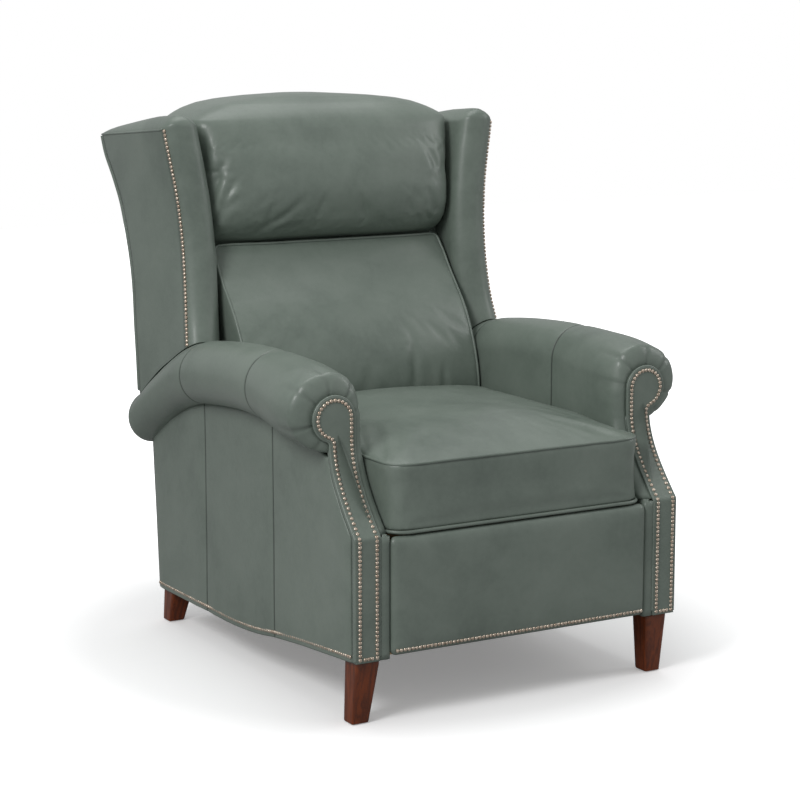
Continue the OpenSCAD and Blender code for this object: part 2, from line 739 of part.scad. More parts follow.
// A pin from a bar out through the link beside it
module out_pin(p) {
    eye(p, pin_r, inner_link_x + link_t, outer_link_x + link_t + head_gap - inner_link_x - link_t);
    eye(p, head_r, outer_link_x + link_t + head_gap, head_t);
}
module lower_bar(side) {
    color(steel) on_side(side) {
        link(low_joint, rest_pivot, [rest_pivot], inner_link_x);
        out_pin(low_joint);
        out_pin(front_joint);
    }
}
module upper_bar(side) {
    color(steel) on_side(side) {
        link(high_joint, rest_joint, [rest_joint], inner_link_x);
        out_pin(high_joint);
    }
}
// The bracket's pins turn in the two bars
rest_face_y = rest_pad_t + rest_board_t;
flange_w = 22;
flange_t = 3;
module rest_bracket(side) {
    x = outer_link_x;
    low = rest_pivot - [0, 2.2 * link_r];
    color(steel) on_side(side) {
        strap(rest_pivot, rest_joint, link_r, x, link_t);
        plate_yz([[rest_face_y, rest_joint[1] + link_r], rest_joint + [0, link_r],
            rest_pivot + [link_r, 0], [rest_pivot[0], low[1]], [rest_face_y, low[1]]], x, link_t);
        translate([x - flange_w, rest_face_y, low[1]])
            cube([flange_w + link_t, flange_t, rest_joint[1] + link_r - low[1]]);
        for (p = [rest_pivot, rest_joint]) {
            eye(p, pin_r, inner_link_x - head_gap, outer_link_x - inner_link_x + head_gap);
            eye(p, head_r, inner_link_x - head_gap - head_t, head_t);
        }
    }
}

// Footrest
rest_board_inset = 10;
module footrest_board() {
    w = rest_w - 2 * rest_board_inset;
    color(oak) translate([-w / 2, rest_pad_t, rest_low_h + rest_board_inset])
        cube([w, rest_board_t, rest_top_h - rest_low_h - 2 * rest_board_inset]);
}
rest_rings = [[0, 0.35, 0], [0, 0.985, 0], [0.3, 1, 0], [0.8, 1, 0], [1, 0.985, 0.1],
    [1, 0.95, 0.35], [1, 0.84, 0.7], [1, 0.6, 0.92], [1, 0.25, 1]];
rest_corner_r = 12;
module footrest_pad() {
    h = rest_top_h - rest_low_h;
    color(leather) translate([0, rest_pad_t, (rest_top_h + rest_low_h) / 2]) rotate([90, 0, 0])
        skin([for (r = rest_rings)
            box_ring(rest_w - h + h * r[1], h * r[1], rest_corner_r * r[1],
                r[0] * rest_pad_t + r[2] * rest_crown, 0)]);
}
// How far the pad's face stands out at a distance from its edge
function rest_bulge(edge) = rest_crown * lookup(1 - 2 * edge / (rest_top_h - rest_low_h),
    [for (i = [len(rest_rings) - 1:-1:4]) [rest_rings[i][1], rest_rings[i][2]]]);
module footrest_nails() {
    edge = nail_inset + nail_r;
    first = rest_w / 2 - 1.6 * nail_inset;
    y = -rest_bulge(edge);
    tilt = atan((rest_bulge(edge + nail_r) - rest_bulge(edge)) / nail_r);
    color(nickel) for (p = steps([[-first, y, rest_low_h + edge], [first, y, rest_low_h + edge]]))
        translate(p) rotate([90 + tilt, 0, 0]) nail();
}

// Drive rod: its front end is slotted, because the two arms rise by different amounts
rod_r = 8;
module drive_rod(side) {
    color(steel) on_side(side) {
        difference() {
            union() {
                strap(back_joint, drive_joint, rod_r, inner_link_x, link_t);
                strap(drive_joint, slot_end, link_r, inner_link_x, link_t);
            }
            for (p = [drive_joint, slot_end])
                eye(p, pin_r + slot_play, inner_link_x - overrun, link_t + 2 * overrun);
            plate_yz([drive_joint - [pin_r + slot_play, 0], slot_end - [pin_r + slot_play, 0],
                slot_end + [pin_r + slot_play, 0], drive_joint + [pin_r + slot_play, 0]],
                inner_link_x - overrun, link_t + 2 * overrun);
        }
        out_pin(back_joint);
    }
}

// Back
deck_foot_h = seat_h - seat_rail_h;
bracket_rise = 120;
bracket_top_h = deck_foot_h + bracket_rise;
module back_bracket(side) {
    seat = [deck(bracket_top_h) + stile_d / 2, bracket_top_h];
    color(steel) on_side(side) difference() {
        union() {
            strap(back_joint, back_pivot, link_r, outer_link_x, link_t);
            strap(back_pivot, seat, 1.3 * link_r, outer_link_x, link_t);
        }
        for (b = [back_joint, back_pivot]) eye(b, bore_r, outer_link_x - overrun, link_t + 2 * overrun);
    }
}
stile_low_h = back_pivot_h + 3 * link_r;
stile_set = 14;
stile_top_h = back_top_h - stile_set;
module back_stiles() {
    color(oak) for (side = sides) on_side(side)
        plate_yz([[deck(stile_low_h), stile_low_h], [deck(stile_low_h) + stile_d, stile_low_h],
            [deck(stile_top_h) + stile_d, stile_top_h], [deck(stile_top_h), stile_top_h]],
            outer_link_x - stile_w, stile_w);
}
// Rails across the back: [share of the stile's height, reach from the middle, depth]
back_rail_h = 46;
back_rail_t = 22;
wing_skin_t = 22;
wing_board_x = wing_waist_x - wing_board_t - wing_skin_t;
inner_rail_reach = outer_link_x - stile_w;
module back_rail(h, reach) {
    y = deck(h) + (reach > inner_rail_reach ? stile_d : 0);
    rise = back_rail_h * tan(deck_lean);
    plate_yz([[y, h], [y + back_rail_t, h], [y + back_rail_t + rise, h + back_rail_h],
        [y + rise, h + back_rail_h]], -reach, 2 * reach);
}
low_rail_set = 8;
low_rail_h = stile_low_h + low_rail_set;
high_rail_h = stile_top_h - back_rail_h;
wing_rail_shares = [0.297, 0.612];
wing_rail_hs = [for (s = wing_rail_shares) back_wide_h + s * (back_top_h - back_wide_h)];
module back_rails() {
    color(oak) {
        back_rail(low_rail_h, inner_rail_reach);
        back_rail(high_rail_h, inner_rail_reach);
        for (h = wing_rail_hs) back_rail(h, wing_board_x);
        for (side = sides) on_side(side) rear_strut();
    }
}
// A strut ties a stile to the outside back, above the apron in every position
strut_h = 40;
strut_rise = 72;
strut_low_h = back_low_h + strut_rise;
module rear_strut() {
    low = strut_low_h;
    high = low + strut_h;
    plate_yz([[deck(low) + stile_d, low], [rear_y(low) - back_t, low],
        [rear_y(high) - back_t, high], [deck(high) + stile_d, high]], inner_rail_reach, stile_w);
}
band_t = 2;
band_set = 5;
module back_webbing() {
    first = low_rail_h + back_rail_h + band_w / 2;
    last = high_rail_h - band_w * 1.5;
    color(leather_dark) for (i = [0:back_bands - 1]) {
        h = first + (last - first) * i / (back_bands - 1);
        y = deck(h) + band_set;
        rise = band_w * tan(deck_lean);
        plate_yz([[y, h], [y + band_t, h], [y + band_t + rise, h + band_w], [y + rise, h + band_w]],
            -inner_rail_reach, 2 * inner_rail_reach);
    }
}

// Wings: where the front edge stands and how far out it is, by share of the wing's height
wing_foot_h = top_h(wing_foot_y) + wing_gap;
wing_front_shares = [[0, 0], [0.12, 0.25], [0.3, 0.5], [0.5, 0.68], [0.75, 0.86], [1, 1]];
wing_out_shares = [[0, 0.4], [0.12, 0.2], [0.3, 0.02], [0.5, 0], [0.72, 0.25], [0.87, 0.62], [1, 1]];
function wing_share(h) = (h - wing_foot_h) / (wing_top_h - wing_foot_h);
function wing_y(h) = wing_foot_y + wing_sweep * lookup(wing_share(h), wing_front_shares);
function wing_x(h) = wing_waist_x + wing_flare * lookup(wing_share(h), wing_out_shares);
wing_rear_x = wing_waist_x + wing_flare / 2;
wing_side_share = 0.3;
function wing_low(x, y) = let (v = min(arm_len, y),
    u = (x - roll_x) / (x > roll_x ? roll_r(v) : roll_x - inside_x))
    roll_c(v) + roll_r(v) * sqrt(max(wing_side_share, 1 - u * u)) + wing_gap;
function wing_high(y) = wing_top_h + (back_top_h - wing_top_h)
    * (y - wing_foot_y - wing_sweep) / (back_reach - wing_foot_y - wing_sweep);
wing_rear_low_h = wing_low(wing_rear_x, arm_len);
wing_roll = 16;
wing_roll_parts = 8;
wing_side_parts = 6;
wing_rear_parts = 5;
wing_rear_gap = 0.3;
wing_levels = concat([0], [for (s = rear_shares)
    let (l = (back_low_h + s[0] * (back_top_h - back_low_h) - wing_rear_low_h)
        / (back_top_h - wing_rear_low_h)) if (l > 0.02 && l < 0.98) l], [1]);
wing_draws = [0.9, 0.7, 0.4, 0.1];
wing_arch_shares = [[0, 1], [0.3, 1], [0.86, 0.53], [1, 0.35]];
function wing_arch(y) = wing_crown
    * lookup((y - wing_foot_y - wing_sweep) / (back_reach - wing_foot_y - wing_sweep), wing_arch_shares);
function wing_h(level) = wing_foot_h + level * (wing_top_h - wing_foot_h);
function wing_rear(level) = rear_y(wing_rear_low_h + level * (back_top_h - wing_rear_low_h))
    - back_t - wing_rear_gap;
// A point on the outer face, from the rear edge (share 0) to the rolled front (share 1)
function wing_flat(level, share) = let (h = wing_h(level), rear = wing_rear(level))
    [wing_rear_x + (wing_x(h) - wing_rear_x) * share,
        rear + (wing_y(h) + wing_roll - rear) * share];
function wing_lift(p, level) = [p[0], p[1],
    wing_low(p[0], p[1]) + level * (wing_high(p[1]) - wing_low(p[0], p[1]))];
function wing_ring(level, draw) =
    let (h = wing_h(level), out = wing_x(h), y = wing_y(h), rear = wing_rear(level),
        mid = [out - wing_t / 2, (y + rear) / 2],
        flat = concat(
            [for (i = [0:wing_side_parts]) [wing_flat(level, i / wing_side_parts), 1]],
            [for (i = [1:wing_roll_parts - 1]) let (a = 180 * i / wing_roll_parts)
                [[mid[0] + wing_t / 2 * cos(a), y + wing_roll - wing_roll * sin(a)], cos(a)]],
            [for (i = [wing_side_parts:-1:0]) [wing_flat(level, i / wing_side_parts) - [wing_t, 0], 1]],
            [for (i = [wing_rear_parts - 1:-1:1]) let (s = i / wing_rear_parts)
                [wing_flat(level, 0) - [wing_t * s, 0], 1 - 2 * s]]))
    [for (f = flat) let (p = mid + (f[0] - mid) * draw) wing_lift(p, level)
        + [0, 0, level < 1 ? 0 : wing_arch(p[1]) * (1 - pow(draw * f[1], 2))]];
// The foot's inner rings follow the roll's arch
wing_foot_draws = [0.04, 0.3, 0.55, 0.8, 0.93];
module wing_form() {
    skin(concat([for (d = wing_foot_draws) wing_ring(0, d)], [for (l = wing_levels) wing_ring(l, 1)],
        [for (d = wing_draws) wing_ring(1, d)]));
}
// The board stands in a pocket that is open below and behind
wing_board_front = 44;
board_low_h = wing_rear_low_h + 2.5 * wing_gap;
board_top_set = 30;
board_high_h = back_top_h - board_top_set;
function wing_board_outline(grow) = let (hs = rear_hs(board_low_h, board_high_h)) concat(
    [for (l = wing_levels) if (l < 0.95)
        [wing_y(wing_h(l)) + wing_board_front - grow, wing_h(l) + wing_gap + (l > 0.9 ? grow : 0)]],
    [for (i = [len(hs) - 1:-1:0])
        [rear_y(hs[i]) - back_t + (grow > 0 ? overrun : 0), hs[i] + (i == len(hs) - 1 ? grow : 0)]],
    [for (i = [1:3]) let (y = arm_len - i / 3 * (arm_len - wing_foot_y - wing_board_front) - grow)
        [y, wing_low(roll_x, y) + 1.5 * wing_gap - (grow > 0 ? 3 * wing_gap : 0)]]);
module wing_board(side) {
    color(oak) on_side(side)
        plate_yz(wing_board_outline(0), wing_board_x, wing_board_t);
}
module wing(side) {
    color(leather) on_side(side) {
        difference() {
            wing_form();
            plate_yz(wing_board_outline(soft_gap), wing_board_x - soft_gap,
                wing_board_t + 2 * soft_gap);
            deck_cut();
        }
        wing_flange();
    }
}
// The wing's lining runs on behind the cushions to the stile
flange_set = 4;
flange_play = 2;
module wing_flange() {
    low = back_wide_h + flange_set;
    mid = wing_foot_h + flange_set;
    high = stile_top_h - flange_set;
    inner = inside_x - soft_gap - flange_play;
    outer = wing_waist_x + overrun - wing_t + flange_set;
    for (f = [[low, high, inner], [mid, high, outer]])
        plate_yz([[deck(f[0]), f[0]], [deck(f[0]) + flange_set, f[0]], [deck(f[1]) + flange_set, f[1]],
            [deck(f[1]), f[1]]], outer_link_x, f[2] - outer_link_x);
}
// Behind the deck the wing is only its outer panel
deck_cut_drop = 40;
module deck_cut() {
    low = back_wide_h - deck_cut_drop;
    high = board_high_h;
    plate_yz([[deck(low) + flange_set, low], [back_reach + overrun, low], [back_reach + overrun, high],
        [deck(high) + flange_set, high]], inside_x - wing_t, wing_board_x - inside_x + wing_t);
}
function wing_nail_point(level) = let (h = wing_h(level),
    run = wing_rear(level) - wing_y(h) - wing_roll)
    wing_lift(wing_flat(level, 1 - nail_inset / run), level);
module wing_nails() {
    path = steps([for (l = wing_levels) wing_nail_point(l)]);
    color(nickel) for (side = sides, i = [1:len(path) - 2]) {
        along = path[i + 1] - path[i - 1];
        on_side(side) translate(path[i]) rotate([0, 90 + atan(along[0] / along[2]), 0]) nail();
    }
}

// Outside back: a bent strip, wide above the arms and narrow between them
outside_gap = 5;
function back_strip(low, high) = let (hs = rear_hs(low, high))
    concat([for (h = hs) [rear_y(h), h]],
        [for (i = [len(hs) - 1:-1:0]) [rear_y(hs[i]) - back_t, hs[i]]]);
top_cover_t = 8;
module outside_back() {
    wide = wing_rear_x;
    narrow = inside_x - outside_gap;
    cover_x = wing_rear_x - wing_t - overrun;
    front = deck(back_top_h) + stile_d;
    color(leather) {
        plate_yz(back_strip(back_wide_h, back_top_h), -wide, 2 * wide);
        plate_yz(back_strip(back_low_h, back_wide_h), -narrow, 2 * narrow);
        plate_yz([[front, wing_high(front) - top_cover_t], [back_reach - back_t, back_top_h - top_cover_t],
            [back_reach - back_t, back_top_h], [front, wing_high(front)]], -cover_x, 2 * cover_x);
    }
}

function corner_round(a, p) = [sign(cos(a)) * pow(abs(cos(a)), p), pow(abs(sin(a)), p)];
// Soft slabs against the deck: rings stacked upwards, front edge and crown by height
slab_parts = 18;
function slab_ring(z, w, front, rear, crown) = [for (i = [0:slab_parts])
    let (u = corner_round(180 * i / slab_parts, 0.4), x = w / 2 * u[0])
    [x, rear - (rear - front) * u[1] - crown * (1 - pow(u[0], 2)), z]];
// [share of the height, share of the width, share of the thickness, share of the crown]
back_cushion_rings = [[0, 0.9, 0.45, 0], [0.03, 0.96, 0.66, 0], [0.08, 0.99, 0.84, 0],
    [0.14, 1, 0.93, 0.1], [0.2, 1, 0.965, 0.25], [0.26, 1, 0.985, 0.45], [0.33, 1, 1, 0.65],
    [0.42, 1, 0.965, 0.9], [0.5, 1, 0.91, 1], [0.58, 1, 0.83, 1], [0.66, 1, 0.72, 1],
    [0.75, 1, 0.56, 0.95], [0.84, 0.995, 0.42, 0.8], [0.91, 0.99, 0.33, 0.65],
    [0.96, 0.985, 0.26, 0.5], [1, 0.97, 0.14, 0.3]];
module back_cushion() {
    h0 = back_cushion_low_h;
    color(leather) skin([for (r = back_cushion_rings)
        let (h = h0 + r[0] * (back_seam_h - h0), rear = deck(h) - soft_gap)
        slab_ring(h, back_cushion_w * r[1], rear - back_cushion_t * r[2], rear,
            back_crown * r[3])]);
}
// [share of the height, of the width, of the thickness, of the reach over the top, of the crown]
pillow_rings = [[0, 0.8, 0.14, 0, 0.2], [0.03, 0.85, 0.36, 0, 0.5], [0.08, 0.88, 0.58, 0, 0.8],
    [0.14, 0.893, 0.76, 0, 1], [0.23, 0.9, 0.92, 0, 1], [0.34, 0.905, 0.99, 0, 1],
    [0.46, 0.912, 1, 0, 1], [0.58, 0.925, 1, 0, 1], [0.7, 0.94, 0.97, 0, 0.95],
    [0.76, 0.947, 0.945, 0, 0.9], [0.775, 0.95, 0.94, 0.9, 0.88], [0.81, 0.96, 0.91, 0.98, 0.85],
    [0.84, 0.945, 0.88, 1, 0.78], [0.87, 0.885, 0.83, 0.99, 0.7], [0.905, 0.775, 0.76, 0.95, 0.6],
    [0.94, 0.635, 0.66, 0.85, 0.47], [0.965, 0.48, 0.54, 0.72, 0.33], [0.985, 0.3, 0.4, 0.58, 0.18],
    [1, 0.1, 0.2, 0.42, 0]];
pillow_gap = 2;
module head_pillow() {
    h0 = back_seam_h + pillow_gap;
    color(leather) skin([for (r = pillow_rings)
        let (h = h0 + r[0] * (pillow_top_h - h0), rear = deck(h) - soft_gap + pillow_over * r[3])
        slab_ring(h, pillow_w * r[1], deck(h) - soft_gap - pillow_t * r[2], rear,
            pillow_crown * r[4])]);
}

place() arm_board(left);  // arm_board_left
place() arm_board(right);  // arm_board_right
place() arm_posts(left);  // arm_posts_left
place() arm_posts(right);  // arm_posts_right
place() inside_arm(left);  // inside_arm_left
place() inside_arm(right);  // inside_arm_right
place() arm_roll(left);  // arm_roll_left
place() arm_roll(right);  // arm_roll_right
place() arm_front(left);  // arm_front_left
place() arm_front(right);  // arm_front_right
place() side_panel(left);  // side_panel_left
place() side_panel(right);  // side_panel_right
place() base_nails();
place() seat_deck();
place() base_rails();
place() rear_apron();
place() foot(feet[0]);  // front_foot_left
place() foot(feet[2]);  // front_foot_right
place() foot(feet[1]);  // rear_foot_left
place() foot(feet[3]);  // rear_foot_right
place() foot_bolts();
place() foot_glides();
place() side_plate(left);  // side_plate_left
place() side_plate(right);  // side_plate_right
place() plate_bolts();
place() fixed_pins();
place() seat_side_rails();
place() seat_cross_rails();
place() seat_spring_set();
place() seat_cushion();
place() rear_link(left);  // rear_link_left
place() rear_link(right);  // rear_link_right
place() front_link(left);  // front_link_left
place() front_link(right);  // front_link_right
place() tie_tube();
place() lower_bar(left);  // lower_bar_left
place() lower_bar(right);  // lower_bar_right
place() upper_bar(left);  // upper_bar_left
place() upper_bar(right);  // upper_bar_right
place() rest_bracket(left);  // rest_bracket_left
place() rest_bracket(right);  // rest_bracket_right
place() footrest_board();
place() footrest_pad();
place() footrest_nails();
place() drive_rod(left);  // drive_rod_left
place() drive_rod(right);  // drive_rod_right
place() back_bracket(left);  // back_bracket_left
place() back_bracket(right);  // back_bracket_right
place() back_stiles();
place() back_rails();
place() back_webbing();
place() wing_board(left);  // wing_board_left
place() wing_board(right);  // wing_board_right
place() wing(left);  // wing_left
place() wing(right);  // wing_right
place() wing_nails();
place() outside_back();
place() back_cushion();
place() head_pillow();
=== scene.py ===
# %% [markdown]
# # A wingback recliner in sage leather
# This lesson dresses a chair whose hard parts already exist: they were drawn as solids, and they come in
# here as a fixed frame. Each leather part is a surface worked out from a formula, and it is laid where its
# solid is. The frame is loaded first, because every other piece takes its place from it.

import bpy
import numpy as np
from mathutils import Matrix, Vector
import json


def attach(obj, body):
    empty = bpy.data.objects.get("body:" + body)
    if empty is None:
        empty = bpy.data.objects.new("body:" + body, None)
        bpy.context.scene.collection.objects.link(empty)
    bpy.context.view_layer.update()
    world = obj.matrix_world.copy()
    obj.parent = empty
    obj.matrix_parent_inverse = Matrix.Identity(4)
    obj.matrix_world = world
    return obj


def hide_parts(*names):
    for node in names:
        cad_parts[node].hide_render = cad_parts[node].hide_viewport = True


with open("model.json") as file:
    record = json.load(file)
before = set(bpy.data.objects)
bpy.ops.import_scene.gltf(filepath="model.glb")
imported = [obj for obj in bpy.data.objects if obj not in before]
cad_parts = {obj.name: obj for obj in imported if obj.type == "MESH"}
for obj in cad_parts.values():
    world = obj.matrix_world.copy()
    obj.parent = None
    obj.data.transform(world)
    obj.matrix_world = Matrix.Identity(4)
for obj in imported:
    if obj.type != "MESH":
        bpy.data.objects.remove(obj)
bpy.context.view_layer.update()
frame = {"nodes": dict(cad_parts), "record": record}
nodes = frame["nodes"]
scene = bpy.context.scene
print(len(nodes), "nodes in the frame")

# %% [markdown]
# ## The camera
# A chair is photographed from a little above its seat with a long lens, so that its verticals stay nearly
# upright. The place and the lens were solved from the straight lines of the chair, and they come first,
# because every look at the work is taken through them.

# %% Camera
LENS, SENSOR = 98.63, 36.0
CAMERA_AT, CAMERA_DOWN, CAMERA_TURN = (-2.2247, -3.9178, 1.2856), 9.867, 30.155
lens_data = bpy.data.cameras.new("photo_lens")
lens_data.lens, lens_data.sensor_width = LENS, SENSOR
camera = bpy.data.objects.new("photo_camera", lens_data)
camera.location = CAMERA_AT
camera.rotation_euler = np.radians([90 - CAMERA_DOWN, 0.0, -CAMERA_TURN])
scene.collection.objects.link(camera)
scene.camera = camera
print("camera at", CAMERA_AT)

# %% [markdown]
# ## Measures of the chair
# An upholsterer works from a few templates: the sweep of the arm front, the line of the arm's seam and of
# its top, and the lower edge of the side. Each one is a table of points here, in millimetres from the arm
# fronts, and a smooth line is drawn through it, as a bent batten would.

# %% Templates
MID_Y = 550.0


def place(points):
    """Millimetres from the arm fronts to metres in the shared frame: y loses 550, then all is divided by 1000."""
    return (np.asarray(points, float) - [0.0, MID_Y, 0.0]) / 1000.0


def batten(x, table):
    """A smooth line through the table's points: between two points it is a cubic that meets both values, and
    its slope at a point is the mean of the slopes at either side."""
    xs, ys = np.array(table, float).T
    slope = np.gradient(ys, xs)
    i = np.clip(np.searchsorted(xs, x) - 1, 0, len(xs) - 2)
    w = xs[i + 1] - xs[i]
    t = np.clip((x - xs[i]) / w, 0, 1)
    return (ys[i] * (1 + 2 * t) * (1 - t) ** 2 + slope[i] * w * t * (1 - t) ** 2
            + ys[i + 1] * t * t * (3 - 2 * t) - slope[i + 1] * w * t * t * (1 - t))


def ease(t):
    """A soft step from 0 to 1: three t squared less two t cubed, held at both ends."""
    t = np.clip(t, 0, 1)
    return t * t * (3 - 2 * t)


# Across, from the middle: the side's outer face, the inside arm's face, the board that carries it, the arm
# front's inner edge, and the middle of the roll.
HALF_W, INSIDE_X, BOARD_X, FRONT_X, ROLL_X = 359.0, 283.0, 300.0, 309.0, 350.0
# Along: the side, the whole arm, and the arm front's thickness. Upwards: the inside arm's foot, the lowest
# point of the skirt and its rise, and the highest points of the arm's seam and of its top.
SIDE_LEN, ARM_LEN, FRONT_T = 883.0, 936.0, 18.0
BOARD_H, SKIRT_LOW, SKIRT_RISE, SEAM_TOP, ARM_TOP = 361.0, 73.0, 53.0, 528.0, 661.0
# The arm front's sweep starts at STEP_H and goes back by STEP_BACK over SWEEP_H; the scroll sits above it.
STEP_H, SWEEP_H, STEP_BACK = 358.0, 165.0, 94.0
SWEEP_TOP = STEP_H + SWEEP_H
SCROLL_X, SCROLL_H, SCROLL_R = 351.0, 565.0, 42.0
SKIRT = [[0, 1], [0.127, 0.83], [0.249, 0.66], [0.378, 0.415], [0.46, 0.22], [0.549, 0.1], [0.73, 0.05], [1, 0]]
SEAM = [[0, 0.92], [0.12, 0.95], [0.18, 0.952], [0.248, 0.967], [0.346, 0.992], [0.433, 1], [0.552, 0.991],
        [0.68, 0.966], [0.756, 0.934], [0.836, 0.875], [0.922, 0.79], [1, 0.71]]
TOP = [[0, 0.966], [0.12, 0.98], [0.173, 0.992], [0.26, 1], [0.497, 0.997], [0.612, 0.983], [0.682, 0.968],
       [0.737, 0.944], [0.814, 0.893], [0.897, 0.828], [1, 0.735]]


def skirt_h(y):
    """The height of the side's lower edge at the distance y: its lowest point, and of its rise the batten's
    share."""
    return SKIRT_LOW + SKIRT_RISE * batten(y / SIDE_LEN, SKIRT)


def seam_h(y):
    """The height of the arm's seam at the distance y: its highest point times the batten's share."""
    return SEAM_TOP * batten(y / ARM_LEN, SEAM)


def top_h(y):
    """The height of the arm's top at the distance y, in the same way."""
    return ARM_TOP * batten(y / ARM_LEN, TOP)


def front_y(h):
    """The arm front is upright at first, then goes back as a quarter of a sine."""
    return STEP_BACK * np.sin(np.pi / 2 * np.clip((h - STEP_H) / SWEEP_H, 0, 1))


print("arm front goes back", front_y(np.array([STEP_H, 440.0, SWEEP_TOP])).round(1), "mm")

# %% [markdown]
# ## From numbers to a skin
# Almost every part of the chair is a closed skin, so one helper serves them all. It takes rings of equal
# length, joins each to the next, and closes both ends. A sum over the skin gives its signed volume, and
# where that is negative the faces are turned round, so that every skin faces outwards.

# %% Skin helpers
def skin_arrays(rings, closed_path=False, folded=False):
    """Points and faces of a tube over rings (m, n, 3): quads from ring to ring, and a fan to the mean point at
    each end. With closed_path the last ring meets the first and there are no fans. With folded, the rings are
    long, and quads close both ends from the one side to the other, the first point beside the last."""
    m, n, _ = rings.shape
    i = np.arange(n)
    k = (i + 1) % n
    last = m if closed_path else m - 1
    a = np.arange(last)[:, None] * n
    b = (np.arange(last)[:, None] + 1) % m * n
    quads = np.stack([a + i, a + k, b + k, b + i], -1).reshape(-1, 4)
    points = rings.reshape(-1, 3)
    fans = np.zeros((0, 3), int)
    if folded:
        h = np.arange(n // 2 - 1)
        lid = np.stack([h, h + 1, n - 2 - h, n - 1 - h], -1)
        quads = np.concatenate([quads, (m - 1) * n + lid, lid[:, ::-1]])
    elif not closed_path:
        points = np.concatenate([points, rings[0].mean(0)[None], rings[-1].mean(0)[None]])
        fans = np.concatenate([np.stack([np.full(n, m * n), k, i], -1),
                               np.stack([np.full(n, m * n + 1), (m - 1) * n + i, (m - 1) * n + k], -1)])
    p = points - points.mean(0)
    tri = np.concatenate([quads[:, [0, 1, 2]], quads[:, [0, 2, 3]], fans])
    volume = np.einsum("ij,ij->i", p[tri[:, 0]], np.cross(p[tri[:, 1]], p[tri[:, 2]])).sum()
    if volume < 0:
        quads, fans = quads[:, ::-1], fans[:, ::-1]
    return points, quads, fans


def skin(rings, **how):
    """The same for rings in millimetres."""
    return skin_arrays(place(rings), **how)


def prism(outline, heights, back=lambda h: 0.0):
    """Rings of one outline in x and y at each height, moved back by back(height)."""
    x, y = np.array(outline, float).T
    return np.array([np.stack([x, y + back(h), np.full(len(x), h)], -1) for h in heights])


NAIL_STEP = 8.1


def resampled(line, count=None, closed=False):
    """Points at even steps along a line: a count of them, or as many as nails would stand on it."""
    line = np.asarray(line, float)
    run = np.concatenate([[0], np.cumsum(np.linalg.norm(np.diff(line, axis=0), axis=1))])
    at = np.linspace(0, run[-1], count or int(round(run[-1] / NAIL_STEP)) + 1, endpoint=not closed)
    return np.stack([np.interp(at, run, axis) for axis in line.T], -1)


def squarish(v, power):
    """A sine or cosine raised to a power and kept on its side of zero: below 1, a round turns squarer."""
    return np.sign(v) * np.abs(v) ** power


print("skin helpers ready")

# %% [markdown]
# ## From a skin to a piece
# Leather shows what it was pulled over: it pales on an edge, partly from wear and partly as a painted highlight, and
# painted shade darkens it in a seam, a joint or a pleat's valley. A material can't see either by itself, so a skin
# may carry two values for it: "seam", which is 1 on a seam line and paints that shade, and "bend", which says
# how sharply the leather turns there and paints the highlight on edges and the shade in folds. The first comes with
# the skin and the second is measured on the mesh. Then the piece is hung on a body of the frame, and named as what
# its solid stood for.

# %% Piece helpers
def piece_from(name, shells, painted_shade_lines=None):
    """One object from several shells of (points, quads, fans), its mesh written with foreach_set."""
    points = np.concatenate([s[0] for s in shells])
    starts = np.cumsum([0] + [len(s[0]) for s in shells[:-1]])
    quads, fans = (np.concatenate([s[i] + o for s, o in zip(shells, starts)]) for i in (1, 2))
    mesh = bpy.data.meshes.new(name)
    mesh.vertices.add(len(points))
    mesh.vertices.foreach_set("co", points.astype(np.float32).ravel())
    loops = np.concatenate([quads.ravel(), fans.ravel()])
    mesh.loops.add(len(loops))
    mesh.loops.foreach_set("vertex_index", loops.astype(np.int32))
    sizes = np.concatenate([np.full(len(quads), 4), np.full(len(fans), 3)])
    mesh.polygons.add(len(sizes))
    mesh.polygons.foreach_set("loop_start", np.concatenate([[0], np.cumsum(sizes)[:-1]]).astype(np.int32))
    mesh.polygons.foreach_set("use_smooth", np.ones(len(sizes), bool))
    mesh.update(calc_edges=True)
    mesh.validate()
    # the "seam" value paints shade along seams, joints and pleat valleys
    if painted_shade_lines is not None:
        full = np.zeros(len(points), np.float32)
        full[: len(painted_shade_lines)] = painted_shade_lines
        mesh.attributes.new("seam", "FLOAT", "POINT").data.foreach_set("value", full)
    piece = bpy.data.objects.new(name, mesh)
    scene.collection.objects.link(piece)
    return piece


def read(mesh, what="co"):
    """The place ("co") or the "normal" of every point of a mesh, one row each."""
    values = np.empty(len(mesh.vertices) * 3, np.float32)
    mesh.vertices.foreach_get(what, values)
    return values.reshape(-1, 3)


def mark_bends(piece, reach, rounds):
    """Writes "bend": how far a point stands out from the mean of its neighbours, along the normal, over reach,
    smoothed a few times over the edges."""
    mesh = piece.data
    n, co = len(mesh.vertices), read(mesh)
    edges = np.empty(len(mesh.edges) * 2, np.int32)
    mesh.edges.foreach_get("vertices", edges)
    a, b = edges.reshape(-1, 2).T
    count = np.maximum(np.bincount(a, minlength=n) + np.bincount(b, minlength=n), 1)

    def gathered(at_a, at_b):
        """The mean over a point's edges of what each edge brings to it."""
        total = np.zeros((n,) + at_a.shape[1:])
        np.add.at(total, a, at_a)
        np.add.at(total, b, at_b)
        return total / count.reshape((-1,) + (1,) * (at_a.ndim - 1))

    length = np.linalg.norm(co[a] - co[b], axis=1)
    span = np.maximum(gathered(length, length), 1e-5)
    out = -((gathered(co[b], co[a]) - co) * read(mesh, "normal")).sum(1) / span ** 2 * reach
    for _ in range(rounds):
        out = 0.5 * out + 0.5 * gathered(out[b], out[a])
    mesh.attributes.new("bend", "FLOAT", "POINT").data.foreach_set("value", np.clip(out, -1, 1).astype(np.float32))


leather_pieces = []


def dress(piece, body, *stood_for, slot="leather", reach=0.004, rounds=3):
    """Hangs a piece on a body in place of the solids that it stands for. Leather has its bends marked too."""
    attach(piece, body)
    if stood_for:
        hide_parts(*stood_for)
    if slot == "leather":
        mark_bends(piece, reach, rounds)
        leather_pieces.append(piece)
    return piece


